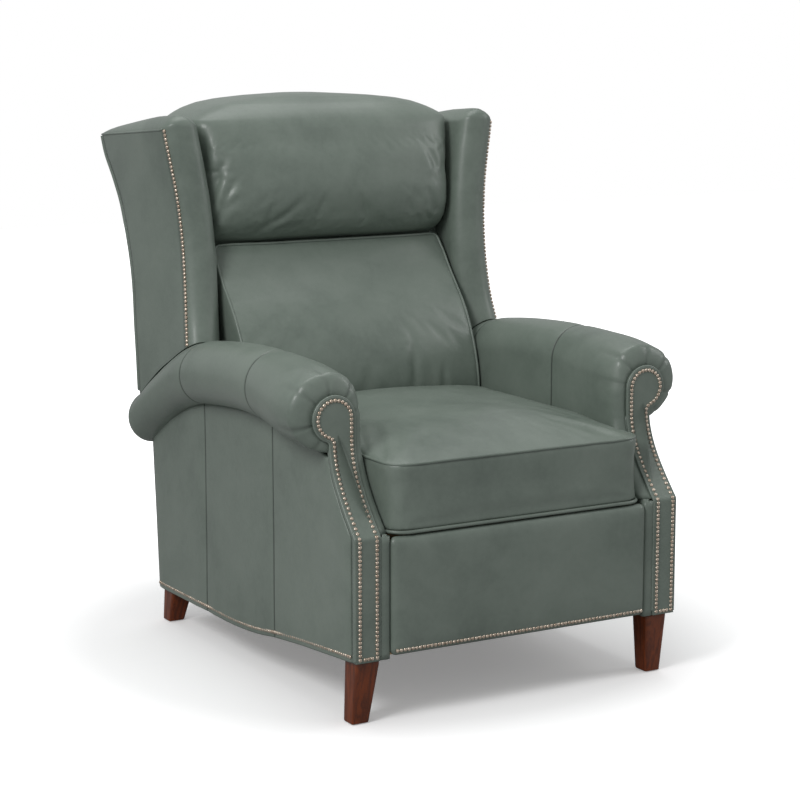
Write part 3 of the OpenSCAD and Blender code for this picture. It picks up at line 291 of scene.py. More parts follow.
def both_sides(name, build, body, *stood_for, slot="leather"):
    """Makes a right piece from build(), and its left twin with x turned over, and hangs both on a body."""
    made = []
    for side, sign in (("right", 1), ("left", -1)):
        shells, painted_shade_lines = build()
        turned = [(points * [sign, 1, 1], quads[:, ::sign], fans[:, ::sign]) for points, quads, fans in shells]
        piece = piece_from(f"{name}_{side}", turned, painted_shade_lines)
        made.append(dress(piece, body, *[f"{n}_{side}" for n in stood_for], slot=slot))
    return made


def waves(u, v, size, seed):
    """Gentle unevenness: a mean of seven sines that run in random directions, about size long, between -1 and
    1. The seed settles them, so that every run gives the same ones."""
    g, count = np.random.default_rng(seed), 7
    total = np.zeros(np.broadcast(u, v).shape)
    for _ in range(count):
        a, p, s = g.uniform(0, np.pi), g.uniform(0, 2 * np.pi), size * g.uniform(0.7, 1.6)
        total = total + np.sin(2 * np.pi * (u * np.cos(a) + v * np.sin(a)) / s + p)
    return total / count


print("piece helpers ready")

# %% [markdown]
# ## Seams across the arm
# Two seams run over the arm roll and down the outer side, where three hides meet. A seam is a few
# millimetres wide on a skin whose points stand ten apart, so it would fall between them. Sections are
# therefore laid closer beside each seam, and there the hide is drawn in along a bell curve.

# %% Seams
# the two seams that cross the arm, how far the points near a seam stand from it, and a seam's width
SEAM_YS, NEAR, SEAM_W = (331.0, 638.0), (0.0, 0.8, 1.9, 3.4, 6.0, 10.0, 15.0), 1.9


def stations(low, high, step):
    """Even steps from low to high, with closer ones on both sides of each seam."""
    base = np.linspace(low, high, int((high - low) / step) + 1)
    for seam in SEAM_YS:
        base = base[np.abs(base - seam) > NEAR[-1] + step * 0.4]
    near = [seam + s * n for seam in SEAM_YS for n in NEAR for s in (-1, 1)]
    return np.unique(np.round(np.concatenate([base, near]), 3))


def seam_bell(y, width):
    """How much a crossing seam draws the hide in: 1 on the line and a bell curve beside it."""
    return sum(np.exp(-((y - s) / width) ** 2) for s in SEAM_YS)


print("seams at", SEAM_YS, "mm behind the arm fronts")

# %% [markdown]
# ## Arm rolls and inside arms
# On the real arm one hide is pulled over a padded round, down the seat side and in under the roll outside.
# It could be a bent cylinder, but its section changes along the arm, so it is a section carried along a
# path: a three-quarter round with a straight drop to the seat. At the front the hide gathers round the
# scroll in pleats; those are narrow valleys cut along rays from the scroll's middle. Two seams cross it.

# %% Arm rolls
# where the even part of the roll begins behind the scroll, then each pleat's ray and depth
BODY_Y = 150.0
PLEATS = np.radians([-58, -14, 40, 82, 128, 168])
PLEAT_DEPTHS = np.array([2.4, 4.8, 4.0, 3.8, 3.6, 2.4])


def roll_round(y):
    """Half the arm roll's height, and the height of its middle."""
    return (top_h(y) - seam_h(y)) / 2, (top_h(y) + seam_h(y)) / 2


def arm_roll():
    """Sections from the arm front to the rear. Each goes round the roll, down the inside arm, up the board and
    out under the roll."""
    n_arc, n_in, n_up, n_across = 76, 22, 8, 6
    arc = np.radians(np.linspace(-90, 180, n_arc))
    fall = np.linspace(1, 0, n_in + 1)[1:]
    body = stations(BODY_Y, ARM_LEN - 22.0, 10.0)
    n = n_arc + n_in + 1 + n_up + n_across
    section = np.arange(n)
    is_arc = section < n_arc

    def ring(y):
        """x and z of a section at the y of each of its points."""
        r, c = roll_round(y)
        out = r * (1 + 0.17 * np.clip(1 - (y - 112) / 200, 0, 1))
        x, z = np.empty(n), np.empty(n)
        i = slice(0, n_arc)
        x[i] = ROLL_X + np.cos(arc) * np.where(np.cos(arc) > 0, out[i], ROLL_X - INSIDE_X)
        z[i] = c[i] + r[i] * np.sin(arc)
        i = slice(n_arc, n_arc + n_in)
        x[i] = INSIDE_X
        z[i] = BOARD_H + (c[i] - BOARD_H) * fall
        i = n_arc + n_in
        x[i], z[i] = BOARD_X - 0.4, BOARD_H - 0.4
        i = slice(n_arc + n_in + 1, n - n_across)
        x[i] = BOARD_X - 0.4
        z[i] = BOARD_H + (seam_h(y[i]) + 0.5 - BOARD_H) * np.linspace(0.12, 1, n_up)
        i = slice(n - n_across, n)
        x[i] = BOARD_X + (ROLL_X - BOARD_X) * np.linspace(0.1, 0.92, n_across)
        z[i] = seam_h(y[i]) + 0.5
        return x, z

    # where each point of the section starts, beside the front panel
    x1, z1 = ring(np.full(n, BODY_Y - 20))
    phi = np.arctan2(z1 - SCROLL_H, x1 - SCROLL_X)
    x0 = np.where(is_arc, SCROLL_X + (SCROLL_R - 3) * np.cos(phi), FRONT_X + 3)
    z0 = np.where(is_arc, SCROLL_H + (SCROLL_R - 3) * np.sin(phi), z1)
    inner = (section >= n_arc) & (section < n_arc + n_in)
    x0[section >= n_arc + n_in] = FRONT_X + 5
    x0[-n_across:] = np.linspace(FRONT_X + 5, SCROLL_X - 8, n_across)
    z0[-n_across:] = 530
    y0 = np.where(is_arc, 101.0, front_y(z1) + 6.0 + 1.0 * (z1 > SWEEP_TOP))
    width = np.hypot(x1 - x0, z1 - z0)
    turned = np.degrees(phi)
    depth = np.where(is_arc, 8 + 13 * ease((turned + 80) / 50) + 17 * ease((turned - 100) / 70),
                     np.clip(0.95 * width, 10, 38))
    depth[~is_arc] = np.clip(depth[~is_arc], 8, 20 + 18 * ease((z1[~is_arc] - 470) / 60))
    # a quarter turn swells from there to the full section, and behind it the rings soon stand even again
    end_y = y0 + depth
    rings, share = [], []
    xe, ze = ring(end_y)
    for t in np.linspace(0, np.pi / 2, 12):
        s, y = np.sin(t), y0 + depth * (1 - np.cos(t)) + 4 * np.exp(-(np.sin(t) / 0.2) ** 2)
        rings.append(np.stack([x0 + (xe - x0) * s, y, z0 + (ze - z0) * s], -1))
        share.append(np.full(n, s))
    lag = end_y - BODY_Y
    for b in body[1:]:
        y = b + lag * (1 - ease((b - BODY_Y) / 150))
        x, z = ring(y)
        rings.append(np.stack([x, y, z], -1))
        share.append(np.full(n, 1 + (b - BODY_Y) / 60))
    # the rear end leans with the side and closes in a shallow dome
    last = rings[-1].copy()
    lean = np.where(z1 < 520, -8 + (ease((last[:, 2] - BOARD_H) / 70) - 1) * 22, 0.0)
    last[:, 1] += np.where(is_arc, 0, lean)
    rings[-1] = last
    centre = last[:n_arc].mean(0)
    for t in np.linspace(0.15, 1, 7) * np.pi / 2:
        p = last.copy()
        draw = 1 - 0.3 * (1 - np.cos(t))
        p[is_arc] = centre + (last[is_arc] - centre) * [draw, 1, draw]
        p[:, 1] += 21 * np.sin(t) * np.where(is_arc, 1, 0.5)
        rings.append(p)
        share.append(np.full(n, 20.0))
    P, S = np.array(rings), np.array(share)
    # pleats round the scroll, then the two crossing seams, then a little unevenness
    angle = np.arctan2(P[..., 2] - SCROLL_H, P[..., 0] - SCROLL_X)
    fade = np.clip(1.15 - 0.55 * S, 0, 1) * is_arc
    valley = sum(d * np.exp(-((angle - a) * SCROLL_R * (1 + 0.8 * S) / (1.7 + 3.4 * S)) ** 2)
                 for a, d in zip(PLEATS, PLEAT_DEPTHS)) * fade
    puff = 0.7 * np.cos((angle - PLEATS[2]) * 8.3) * np.clip(1 - np.abs(S - 0.55) / 0.7, 0, 1) * is_arc
    skin_side = is_arc | inner
    groove = seam_bell(P[..., 1], SEAM_W) * skin_side * (S >= 1)
    pull = seam_bell(P[..., 1], 16.0) * skin_side * (S >= 1)
    uneven = waves(P[..., 1], angle * 70, 150, 3) * ease(S - 1) * is_arc
    inward = valley - puff + 1.7 * groove + 1.6 * pull - 1.2 * uneven
    cx = np.where(is_arc, ROLL_X, BOARD_X)
    cz = np.where(is_arc, roll_round(P[..., 1])[1], P[..., 2])
    d = np.stack([cx - P[..., 0], 0.55 * np.clip(1.4 - S, 0, 1) * 60, cz - P[..., 2]], -1)
    d /= np.maximum(np.linalg.norm(d, axis=-1, keepdims=True), 1e-6)
    P = P + d * inward[..., None]
    # painted shade: a dark line on both crossing seams and a fainter one in each pleat's valley
    painted_shade_lines = np.clip(groove * 1.2 + 0.5 * valley / 7.0, 0, 1)
    return [skin(P)], painted_shade_lines.ravel()


rolls = both_sides("arm_roll", arm_roll, "base", "arm_roll", "inside_arm")
print("arm rolls:", [len(p.data.polygons) for p in rolls], "faces")

# %% [markdown]
# ## Arm fronts
# The arm front is a thin upholstered board: straight at the foot, swept back in an S, and round at the
# top. A flat cut-out would need its edge rounded by hand, so the face is built from its outline inwards.
# Each ring of the outline is drawn towards a spine down the middle, and the sweep bends all rings alike.
# A fine welt of piped leather is laid in the joint round the edge. Two strips close what would stay bare:
# one beside the footrest, and one turned in over the board below the arm's padding.

# %% Arm fronts
def front_outline(inset, count=None):
    """The outline in x and height, from the inner foot up, round the scroll and down to the outer foot:
    two straight sides, a circle, and a small fillet where the circle meets the outer side. With a count, its
    points stand at even steps."""
    left, right, r = FRONT_X + inset, HALF_W - inset, SCROLL_R - inset
    fillet = 9.0 + inset
    turn = np.arccos((right + fillet - SCROLL_X) / (r + fillet))
    foot = SCROLL_H - (r + fillet) * np.sin(turn)
    a = np.linspace(np.pi, -turn, 70)
    circle = np.stack([SCROLL_X + r * np.cos(a), SCROLL_H + r * np.sin(a)], -1)
    b = np.linspace(np.pi - turn, np.pi, 8)[1:]
    neck = np.stack([right + fillet + fillet * np.cos(b), foot + fillet * np.sin(b)], -1)
    low = SKIRT_LOW + SKIRT_RISE + inset
    up = np.stack([np.full(60, left), np.linspace(low, SCROLL_H, 60)], -1)
    down = np.stack([np.full(54, right), np.linspace(foot, low, 55)[1:]], -1)
    points = np.concatenate([up, circle[1:], neck, down])
    return resampled(points, count) if count else points


def on_front(line, back, sign=1):
    """A line of x and height laid on the arm front's sweep, behind its face by back."""
    return np.stack([sign * line[:, 0], front_y(line[:, 1]) + back, line[:, 1]], -1)


TUBE_SIDES = 8


def tube(path, radius):
    """A round tube along a path: at each point a circle of the radius stands square to the path's direction,
    turned as little as possible from the one before."""
    ahead = np.roll(path, -1, 0) - np.roll(path, 1, 0)
    ahead[0], ahead[-1] = path[1] - path[0], path[-1] - path[-2]
    ahead /= np.linalg.norm(ahead, axis=1, keepdims=True)
    side = np.cross(ahead, [0.0, 0.0, 1.0])
    weak = np.linalg.norm(side, axis=1) < 0.2
    side[weak] = np.cross(ahead[weak], [1.0, 0.0, 0.0])
    for i in range(1, len(side)):
        side[i] = side[i - 1] - ahead[i] * (side[i - 1] @ ahead[i])
        side[i] /= np.linalg.norm(side[i])
    side[0] /= np.linalg.norm(side[0])
    up = np.cross(side, ahead)
    a = np.linspace(0, 2 * np.pi, TUBE_SIDES, endpoint=False)
    return path[:, None] + radius * (side[:, None] * np.cos(a)[:, None] + up[:, None] * np.sin(a)[:, None])


def arm_front():
    """The padded face, a strip beside the footrest, leather turned in below the arm, and the welt."""
    line = front_outline(0.0, 300)
    over = np.flatnonzero(line[:, 1] > SCROLL_H)
    down = line[over[-1] + 1:]
    up = np.stack([np.full(len(down), FRONT_X), down[::-1, 1]], -1)
    line = np.concatenate([up, line[over], down])
    x, h = line.T
    middle = (FRONT_X + HALF_W) / 2
    spine_x = middle + (SCROLL_X - middle) * ease((h - 470) / 70)
    spine_h = np.clip(h, 146, SCROLL_H)
    rings = []
    # each ring's share of the way from the spine to the outline, and how far it lies behind the face
    plan = [(0.90, 17.5), (0.99, 16.5), (1.0, 14.5), (1.0, 3.2), (0.996, 1.4), (0.975, 0.5), (0.95, 0.6)]
    plan += [(s, 0.7 - 0.5 * (1 - s * s)) for s in (0.9, 0.8, 0.65, 0.5, 0.35, 0.2, 0.08, 0.01)]
    for s, back in plan:
        px, ph = spine_x + (x - spine_x) * s, spine_h + (h - spine_h) * s
        rings.append(np.stack([px, front_y(ph) + back, ph], -1))
    rings = np.array(rings)
    # painted shade: a dark band round the face, where it begins to turn down at its edge towards the welt
    edge = np.exp(-((np.array([p[0] for p in plan]) - 0.95) / 0.03) ** 2)[:, None] * 0.4
    painted_shade_lines = np.broadcast_to(edge, rings.shape[:2]).ravel()
    shells = [skin(rings, folded=True)]
    strip = [[286.4, 17.8], [308.8, 17.8], [308.8, 6.4], [307.6, 3.6], [304.5, 2.2], [298, 1.7], [291, 2.2],
             [287.6, 3.8], [286.4, 7.0]]
    shells.append(skin(prism(strip, np.linspace(126.5, 357.5, 20))))
    turned_in = [[291.0, 8.0], [299.9, 8.0], [299.9, 74.0], [291.0, 74.0]]
    shells.append(skin(prism(turned_in, (310.0, 335.0, 360.4))))
    bead = front_outline(-0.6, 420)[4:-2]
    shells.append(skin(tube(on_front(bead, 3.4), 2.3)))
    return shells, painted_shade_lines


both_sides("arm_front", arm_front, "base", "arm_front")
print("arm fronts made")

# %% [markdown]
# ## Outer sides
# The side is leather pulled flat over padding from the arm's seam down to the foot, with two upright
# seams. It is one skin of upright sections from front to rear. Its front edge follows the sweep and its
# rear edge leans, and between them the sections are moved only as far as the seams allow, so that these
# stay upright as on the real chair.

# %% Outer sides
def lean_y(h):
    """The rear edge of the side leans back by 32 from its foot to the arm's seam."""
    return SIDE_LEN + 32 * (h - SKIRT_LOW) / (SEAM_TOP - SKIRT_LOW)


def side_panel():
    """Upright sections with a turned-in foot, and the leather's return round the rear of the arm."""
    ys = stations(FRONT_T + 0.4, SIDE_LEN, 9.0)
    up = np.linspace(0, 1, 44)
    # the turned-in foot: x, and height over the lower edge
    shape = [(352.5, 0.6), (353.5, -0.2), (356, -0.6), (358.2, 0.4), (358.9, 2.6)]
    n = len(shape) + len(up) + 1
    foot, top = skirt_h(ys), seam_h(ys) + 3
    rings = []
    for y, lo, hi in zip(ys, foot, top):
        x = np.concatenate([[s[0] for s in shape], np.full(len(up), HALF_W), [352.5]])
        z = np.concatenate([[lo + s[1] for s in shape], lo + 4 + (hi - lo - 4) * up, [hi]])
        fore = np.clip(1 - (y - FRONT_T) / 240, 0, 1) ** 1.5 * front_y(z)
        back = np.clip((y - 660) / (SIDE_LEN - 660), 0, 1) ** 1.5 * (lean_y(z) - SIDE_LEN)
        rings.append(np.stack([x, y + fore + back, z], -1))
    P = np.array(rings)
    tuck = np.zeros(len(ys))
    tuck[:2], tuck[-2:] = (2.0, 0.6), (0.6, 2.0)
    face = (np.arange(n) >= len(shape) - 2) & (np.arange(n) < n - 1)
    groove = seam_bell(ys, SEAM_W)[:, None] * face
    pull = seam_bell(ys, 22.0)[:, None] * face
    ends = np.exp(-((ys - ys[0]) / 16.0) ** 2) + np.exp(-((ys[-1] - ys) / 20.0) ** 2)
    full = waves(P[..., 1], P[..., 2], 260, 11) + waves(P[..., 1] * 2.2, P[..., 2] * 0.6, 90, 12) * 0.5
    P[..., 0] += face * (1.6 + full) - 1.6 * groove - 1.5 * pull - (1.4 * ends + tuck)[:, None] * face
    # painted shade: a dark line along both upright seams
    painted_shade_lines = np.clip(groove * 1.2, 0, 1).ravel()
    round_rear = [[301.0, -7], [352.6, -7], [352.6, -0.4], [330, 0.8], [302, 0.0], [301.0, -1.4]]
    return [skin(P), skin(prism(round_rear, np.linspace(SKIRT_LOW + 0.5, 386.0, 34), lean_y))], painted_shade_lines


both_sides("side_panel", side_panel, "base", "side_panel")
print("side panels made")

# %% [markdown]
# ## Lines of the back and wings
# Everything that reclines takes its place from a few lines: the deck that the cushions lie on, the back's
# rear line, and the wing's front edge, outer face, foot and top. Each is a function of the height or of
# the distance, so that the wings, the outside back, the cushions and the pillow all agree where they meet.

# %% Back lines
WING_FRONT = [[0, 0], [0.12, 0.25], [0.3, 0.5], [0.5, 0.68], [0.75, 0.86], [1, 1]]
WING_OUT = [[0, 0.4], [0.12, 0.2], [0.3, 0.02], [0.5, 0], [0.72, 0.25], [0.87, 0.62], [1, 1]]
REAR = [[0, 0], [0.257, 0.144], [0.364, 0.174], [0.468, 0.208], [0.54, 0.222], [0.61, 0.257], [0.679, 0.325],
        [0.747, 0.418], [0.816, 0.535], [0.883, 0.711], [0.952, 0.917], [1, 1]]
# The back's rear line: its foot's and top's height, and how far back it lies there.
BACK_LOW, BACK_TOP, BACK_FOOT_Y, BACK_REACH = 308.0, 1036.0, 903.5, 1108.0
# The plane that the back cushions lie on: its distance at DECK_LOW, and its lean in degrees.
DECK_Y, DECK_LOW, DECK_LEAN = 702.0, 334.0, 11.3
# The wing: its foot and top in front, its thickness, its rear edge, and where its front and its outer face
# start, with the way that each goes up to the top.
WING_FOOT_H, WING_TOP_H, WING_T, WING_REAR_X = 643.0, 1063.0, 80.0, 378.5
WING_Y, WING_Y_RUN, WING_X, WING_X_RUN, WING_ROLL, ARCH_H = 664.0, 58.0, 364.0, 29.0, 34.0, 26.0
WING_H, TOP_Y = WING_TOP_H - WING_FOOT_H, WING_Y + WING_Y_RUN
TOP_RUN, TOP_DROP = BACK_REACH - TOP_Y, WING_TOP_H - BACK_TOP


def deck(h):
    """The y of the plane that the cushions lie on: it goes back by the tangent of DECK_LEAN with the height."""
    return DECK_Y + (h - DECK_LOW) * np.tan(np.radians(DECK_LEAN))


def rear_y(h):
    """The y of the back's rear line: from its foot to its top it goes back along a batten."""
    return BACK_FOOT_Y + (BACK_REACH - BACK_FOOT_Y) * batten((h - BACK_LOW) / (BACK_TOP - BACK_LOW), REAR)


def wing_share(h):
    """How far up the wing a height is: 0 at its foot and 1 at its top."""
    return (h - WING_FOOT_H) / WING_H


def wing_y(h):
    """The y of the wing's front edge at a height, along a batten."""
    return WING_Y + WING_Y_RUN * batten(wing_share(h), WING_FRONT)


def wing_x(h):
    """The x of the wing's outer face at a height, along a batten."""
    return WING_X + WING_X_RUN * batten(wing_share(h), WING_OUT)


def wing_low(x, y):
    """The arm roll's arch at x and y, with a gap of 2 at the front and 5 further back for the travel."""
    v = np.minimum(y, ARM_LEN)
    r, c = roll_round(v)
    u = (x - ROLL_X) / np.where(x > ROLL_X, r, ROLL_X - INSIDE_X)
    return c + r * np.sqrt(np.clip(1 - u * u, 0.3, 1)) + 2.0 + 3.0 * ease((y - 740) / 80)


def wing_high(y):
    """The height of the wing's top: a straight slope that falls by TOP_DROP over TOP_RUN."""
    return WING_TOP_H - TOP_DROP * (y - TOP_Y) / TOP_RUN


WING_REAR_LOW = float(wing_low(np.array(WING_REAR_X), np.array(ARM_LEN)))
print("the wing's foot at the rear is at", round(WING_REAR_LOW, 1), "mm")

# %% [markdown]
# ## Wings
# A wing is a board padded on its inner side and rolled at its front edge, where the leather turns in a
# broad soft face. It stands on the slope of the arm roll. It could be a box with its edges rounded, but
# its foot is arched and its top slants. So it is made of level sections, each a flat outer face, a rolled
# front and an inner face that goes back to the deck, and each is lifted so that the lowest one follows the
# arm roll's arch and the highest one the slanted top.

# %% Wings
def wing_section(level, draw):
    """x and y round one level of the wing, from the outer rear edge forwards, round the roll and back inside, and
    the way across it from 1 outside to -1 inside. All of them are drawn in to the middle by draw."""
    h = WING_FOOT_H + level * WING_H
    rear = rear_y(WING_REAR_LOW + level * (BACK_TOP - WING_REAR_LOW)) - 10.6
    out, y = wing_x(h) + 2.5, wing_y(h)
    t = np.linspace(0, 1, 30)
    bulge = 2.2 * np.sin(np.pi * t) ** 0.8
    flat_x = WING_REAR_X + (out - WING_REAR_X) * t
    flat_y = rear + (y + WING_ROLL - rear) * t
    a = np.linspace(0, np.pi, 30)[1:-1]
    mx = out - WING_T / 2
    bow = squarish(np.cos(a), 0.93)
    roll_x = mx + WING_T / 2 * bow
    roll_y = y + WING_ROLL - (WING_ROLL + 1) * squarish(np.sin(a), 0.88)
    in_x = flat_x[::-1] - WING_T
    cove = 5.0 * np.sin(np.pi * np.clip(t * 1.1, 0, 1))
    rear_x = np.linspace(WING_REAR_X - WING_T, WING_REAR_X, 8)[1:-1]
    x = np.concatenate([flat_x + bulge * 0.4, roll_x, in_x - cove[::-1] * 0.2, rear_x])
    yy = np.concatenate([flat_y, roll_y, flat_y[::-1], np.full(len(rear_x), rear)])
    my = (y + rear) / 2
    across = np.concatenate([np.ones(30), bow, -np.ones(30), np.linspace(-1, 1, 8)[1:-1]])
    return mx + (x - mx) * draw, my + (yy - my) * draw, across * draw


def wing_arch(y, across):
    """The padded top's rise over its two edges: one less the square of the way across, less high at the rear,
    and rounded off at the front by a quarter circle."""
    front = np.sqrt(1 - (1 - np.clip((y - 720) / 30, 0.06, 1)) ** 2)
    share = np.interp((y - TOP_Y) / TOP_RUN, [0, 0.3, 0.86, 1], [1, 1, 0.53, 0.35])
    return ARCH_H * front * share * (1 - across ** 2)


def wing_ring(level, draw=1.0, lift=0.0):
    """One level of the wing, from 0 on the arm roll's arch to 1 on the slanted top, where the padding rises."""
    x, y, across = wing_section(level, draw)
    low = wing_low(x, y)
    arch = wing_arch(y, across) * np.clip((level - 0.93) / 0.07, 0, 1)
    return np.stack([x, y, low + level * (wing_high(y) - low) + arch + lift], -1)


def wing():
    """The wing from its foot to its top, the piping along its top's outer edge, and the lining that runs on
    behind the cushions to the deck."""
    feet = [wing_ring(0.0, d) for d in (0.05, 0.3, 0.55, 0.75, 0.88, 0.96)]
    body = [wing_ring(l) for l in np.concatenate([[0.0, 0.004], np.linspace(0.015, 0.985, 56), [0.995]])]
    tops = [wing_ring(1.0, d, u) for d, u in ((0.998, 1.0), (0.994, 2.0), (0.985, 3.2), (0.97, 4.2), (0.94, 5),
                                              (0.89, 5.4), (0.8, 5.6), (0.68, 5.6), (0.54, 5.6), (0.4, 5.6),
                                              (0.25, 5.6), (0.1, 5.6))]
    P = np.array(feet + body + tops)
    k = np.arange(P.shape[1])
    # a seam runs up the front of the outer face, just behind the row of nails; it is a painted line of shade, without
    # a groove
    line = np.exp(-((k - 31.5) / 0.7) ** 2)[None] * np.ones((len(P), 1))
    inner = (k > 58) & (k < 88)
    round_front = (k >= 30) & (k <= 58)
    P[..., 0] += waves(P[..., 1], P[..., 2], 170, 21) * 1.6 * inner
    P[..., 1] += waves(P[..., 0], P[..., 2], 140, 22) * 0.9 * round_front
    painted_shade_lines = np.clip(line * 0.7, 0, 1)
    painted_shade_lines[:6] = 0
    painted_shade_lines[-10:] = 0
    piping = tube(wing_ring(1.0, 0.998, 1.5)[:33], 2.4)
    lining = prism([[262, 0.5], [289, 0.5], [289, 4.4], [262, 4.4]], np.linspace(501, 1000, 24), deck)
    lining[..., 0] = np.where((lining[..., 0] > 280) & (lining[..., 2] < 646), 280.5, lining[..., 0])
    return [skin(P), skin(piping), skin(lining)], painted_shade_lines.ravel()


wings = both_sides("wing", wing, "back", "wing")
print("wings:", [len(p.data.polygons) for p in wings], "faces")

# %% [markdown]
# ## Outside back
# Behind the deck one hide closes the chair. It is broad above the arms, runs down narrow between them, and
# turns over the top behind the pillow. A padded panel is never quite flat, so its sections swell by a few
# millimetres, and a welt marks its long edges. The three parts are sewn together, so they are one piece.

# %% Outside back
def bent_panel(heights, half, thick, swell, edge):
    """A panel that follows the rear line: upright sections with a swollen outer face and rounded ends. The
    swelling is one less the fourth power of the way across, and fades towards the top and foot."""
    s = np.linspace(-1, 1, 60)
    rings = []
    for h in heights:
        y = rear_y(h)
        t = (h - heights[0]) / (heights[-1] - heights[0])
        full = swell * np.clip(np.sin(np.pi * t), 0, 1) ** 0.5
        x = half * np.sin(s * np.pi / 2 * 0.999)
        outer = y + full * (1 - np.abs(s) ** 4) - edge * np.abs(s) ** 30
        rings.append(np.stack([np.concatenate([x, x[::-1] * 0.998]),
                               np.concatenate([outer, np.full(60, y - thick)]), np.full(120, h)], -1))
    return np.array(rings)


upper = bent_panel(np.linspace(499, 1035, 60), WING_REAR_X - 0.5, 9.6, 3.0, 4.0)
lower = bent_panel(np.linspace(308.5, 498.5, 24), INSIDE_X - 5.4, 9.6, 2.0, 3.0)
across, flat = np.linspace(-1, 1, 40), np.ones(40)
cover = np.array([np.stack([np.concatenate([across, across[::-1]]) * 299.0, np.full(80, y),
                            wing_high(y) - np.concatenate([1.0 * flat, 7.5 * flat])
                            - 4.5 * ease((y - BACK_REACH + 14) / 14)], -1)
                  for y in np.linspace(deck(BACK_TOP) + 42, BACK_REACH - 2, 26)])
shells = [skin(r) for r in (upper, lower, cover)]
for half, lo, hi in ((WING_REAR_X - 2, 500, 1034), (INSIDE_X - 7, 310, 498)):
    h = np.linspace(lo, hi, 70)
    for sign in (-1, 1):
        shells.append(skin(tube(np.stack([np.full(70, sign * half), rear_y(h) - 1.5, h], -1), 2.6)))
dress(piece_from("outside_back_cover", shells), "back", "outside_back")
print("outside back made")

# %% [markdown]
# ## Filling a cushion
# A cushion is a sewn case that its filling pushes outwards, while the seams hold. Modelling that swelling
# by hand looks stiff, so the case is cut into even faces and blown up as cloth for a moment, with the seams
# and the hidden sides held fast. No point may move further than a set limit.

# %% Filling helpers
VOXEL, FRAMES, HOLDS = 0.006, 20, 10


def remeshed(name, shells):
    """An even mesh of the case, from cubes of the voxel's size."""
    case = piece_from(name, shells)
    even = case.modifiers.new("even_faces", "REMESH")
    even.mode = "VOXEL"
    even.voxel_size = VOXEL
    even.use_smooth_shade = True
    case.data = bpy.data.meshes.new_from_object(case.evaluated_get(bpy.context.evaluated_depsgraph_get()))
    case.modifiers.clear()
    case.data.name = name
    return case


def set_points(mesh, co):
    """Writes the places of all points of a mesh at once."""
    mesh.vertices.foreach_set("co", co.astype(np.float32).ravel())
    mesh.update()


def filled(name, shells, held, spare, limit, pressure):
    """The case blown up for a few frames by the pressure. held(points) says how firmly each point is held, from
    0 to 1, spare is the share by which the leather may grow, and limit is the furthest move in metres."""
    case = remeshed(name, shells)
    before = read(case.data).astype(float)
    group = case.vertex_groups.new(name="held")
    levels = np.round(np.clip(held(before), 0, 1) * HOLDS).astype(int)
    for level in range(1, HOLDS + 1):
        group.add(np.flatnonzero(levels == level).tolist(), level / HOLDS, "REPLACE")
    cloth = case.modifiers.new("filling", "CLOTH")
    for key, value in {"quality": 5, "mass": 0.4, "tension_stiffness": 18, "compression_stiffness": 18,
                       "shear_stiffness": 8, "bending_stiffness": 1.5, "use_pressure": True,
                       "uniform_pressure_force": pressure, "shrink_min": -spare, "vertex_group_mass": "held"}.items():
        setattr(cloth.settings, key, value)
    cloth.settings.effector_weights.gravity = 0
    cloth.collision_settings.use_collision = False
    cloth.point_cache.frame_start, cloth.point_cache.frame_end = 1, FRAMES
    for frame_number in range(1, FRAMES + 1):
        scene.frame_set(frame_number)
    blown = case.evaluated_get(bpy.context.evaluated_depsgraph_get())
    move = read(blown.data).astype(float) - before
    case.modifiers.clear()
    case.vertex_groups.clear()
    scene.frame_set(1)
    length = np.linalg.norm(move, axis=1, keepdims=True)
    move *= np.minimum(1, limit / np.maximum(length, 1e-9))
    set_points(case.data, before + move)
    print(name, len(before), "points, moved up to", round(float(np.minimum(length, limit).max() * 1000), 1), "mm")
    return case


print("filling runs for", FRAMES, "frames")

# %% [markdown]
# ## Welts and folds
# A welt is a cord of piped leather sewn into a seam, so it follows the blown case, wherever that has gone:
# its line is brought to the case's nearest surface. The folds that stay in used leather could be had from
# the cloth too, but they would never lie where the real ones do, so each is pressed in as a valley with a
# low ridge beside it.

# %% Welt and fold helpers
def near_line(points, line, reach):
    """1 on a line of points and 0 beyond reach, falling as a soft step."""
    best = np.full(len(points), 1e9)
    for part in np.array_split(line, max(1, len(line) // 40)):
        best = np.minimum(best, ((points[:, None] - part[None]) ** 2).sum(-1).min(1))
    return ease(1 - np.sqrt(best) / reach)


def laid_on(piece, line, proud, closed=True):
    """A line brought onto the piece's surface, lifted by proud along its normal, and smoothed along itself."""
    out = []
    for p in line:
        _, point, normal, _ = piece.closest_point_on_mesh(Vector(p))
        out.append(point + normal * proud)
    out = np.array(out)
    for _ in range(3):
        inner = (np.roll(out, 1, 0) + 2 * out + np.roll(out, -1, 0)) / 4
        if not closed:
            inner[0], inner[-1] = out[0], out[-1]
        out = inner
    return out


def push(piece, field, along=(0, -1, 0)):
    """Moves each point by field(points) metres against its own normal, where it faces along."""
    co, no = read(piece.data).astype(float), read(piece.data, "normal")
    face = np.clip(no @ np.array(along, float), 0, 1) ** 0.5
    set_points(piece.data, co - no * (field(co) * face)[:, None])


def crease(u, v, start, end, depth, width, bow):
    """A fold's valley from start to end in a plane of u and v, with a low ridge beside it: a bell curve across,
    a soft rise and fall along, and a bow at its middle."""
    start, end = np.array(start, float), np.array(end, float)
    run = end - start
    length = np.hypot(*run)
    t = ((u - start[0]) * run[0] + (v - start[1]) * run[1]) / length ** 2
    off = ((u - start[0]) * -run[1] + (v - start[1]) * run[0]) / length - bow * np.sin(np.pi * np.clip(t, 0, 1))
    along = ease(t / 0.18) * ease((1 - t) / 0.55)
    return depth * along * (np.exp(-(off / width) ** 2) - 0.45 * np.exp(-((off - 2.1 * width) / (1.3 * width)) ** 2)
                            - 0.3 * np.exp(-((off + 2.2 * width) / (1.4 * width)) ** 2))


def with_folds(field, u, v, folds):
    """A field with folds added, from millimetres to metres."""
    for fold in folds:
        field = field + crease(u, v, *fold)
    return field / 1000


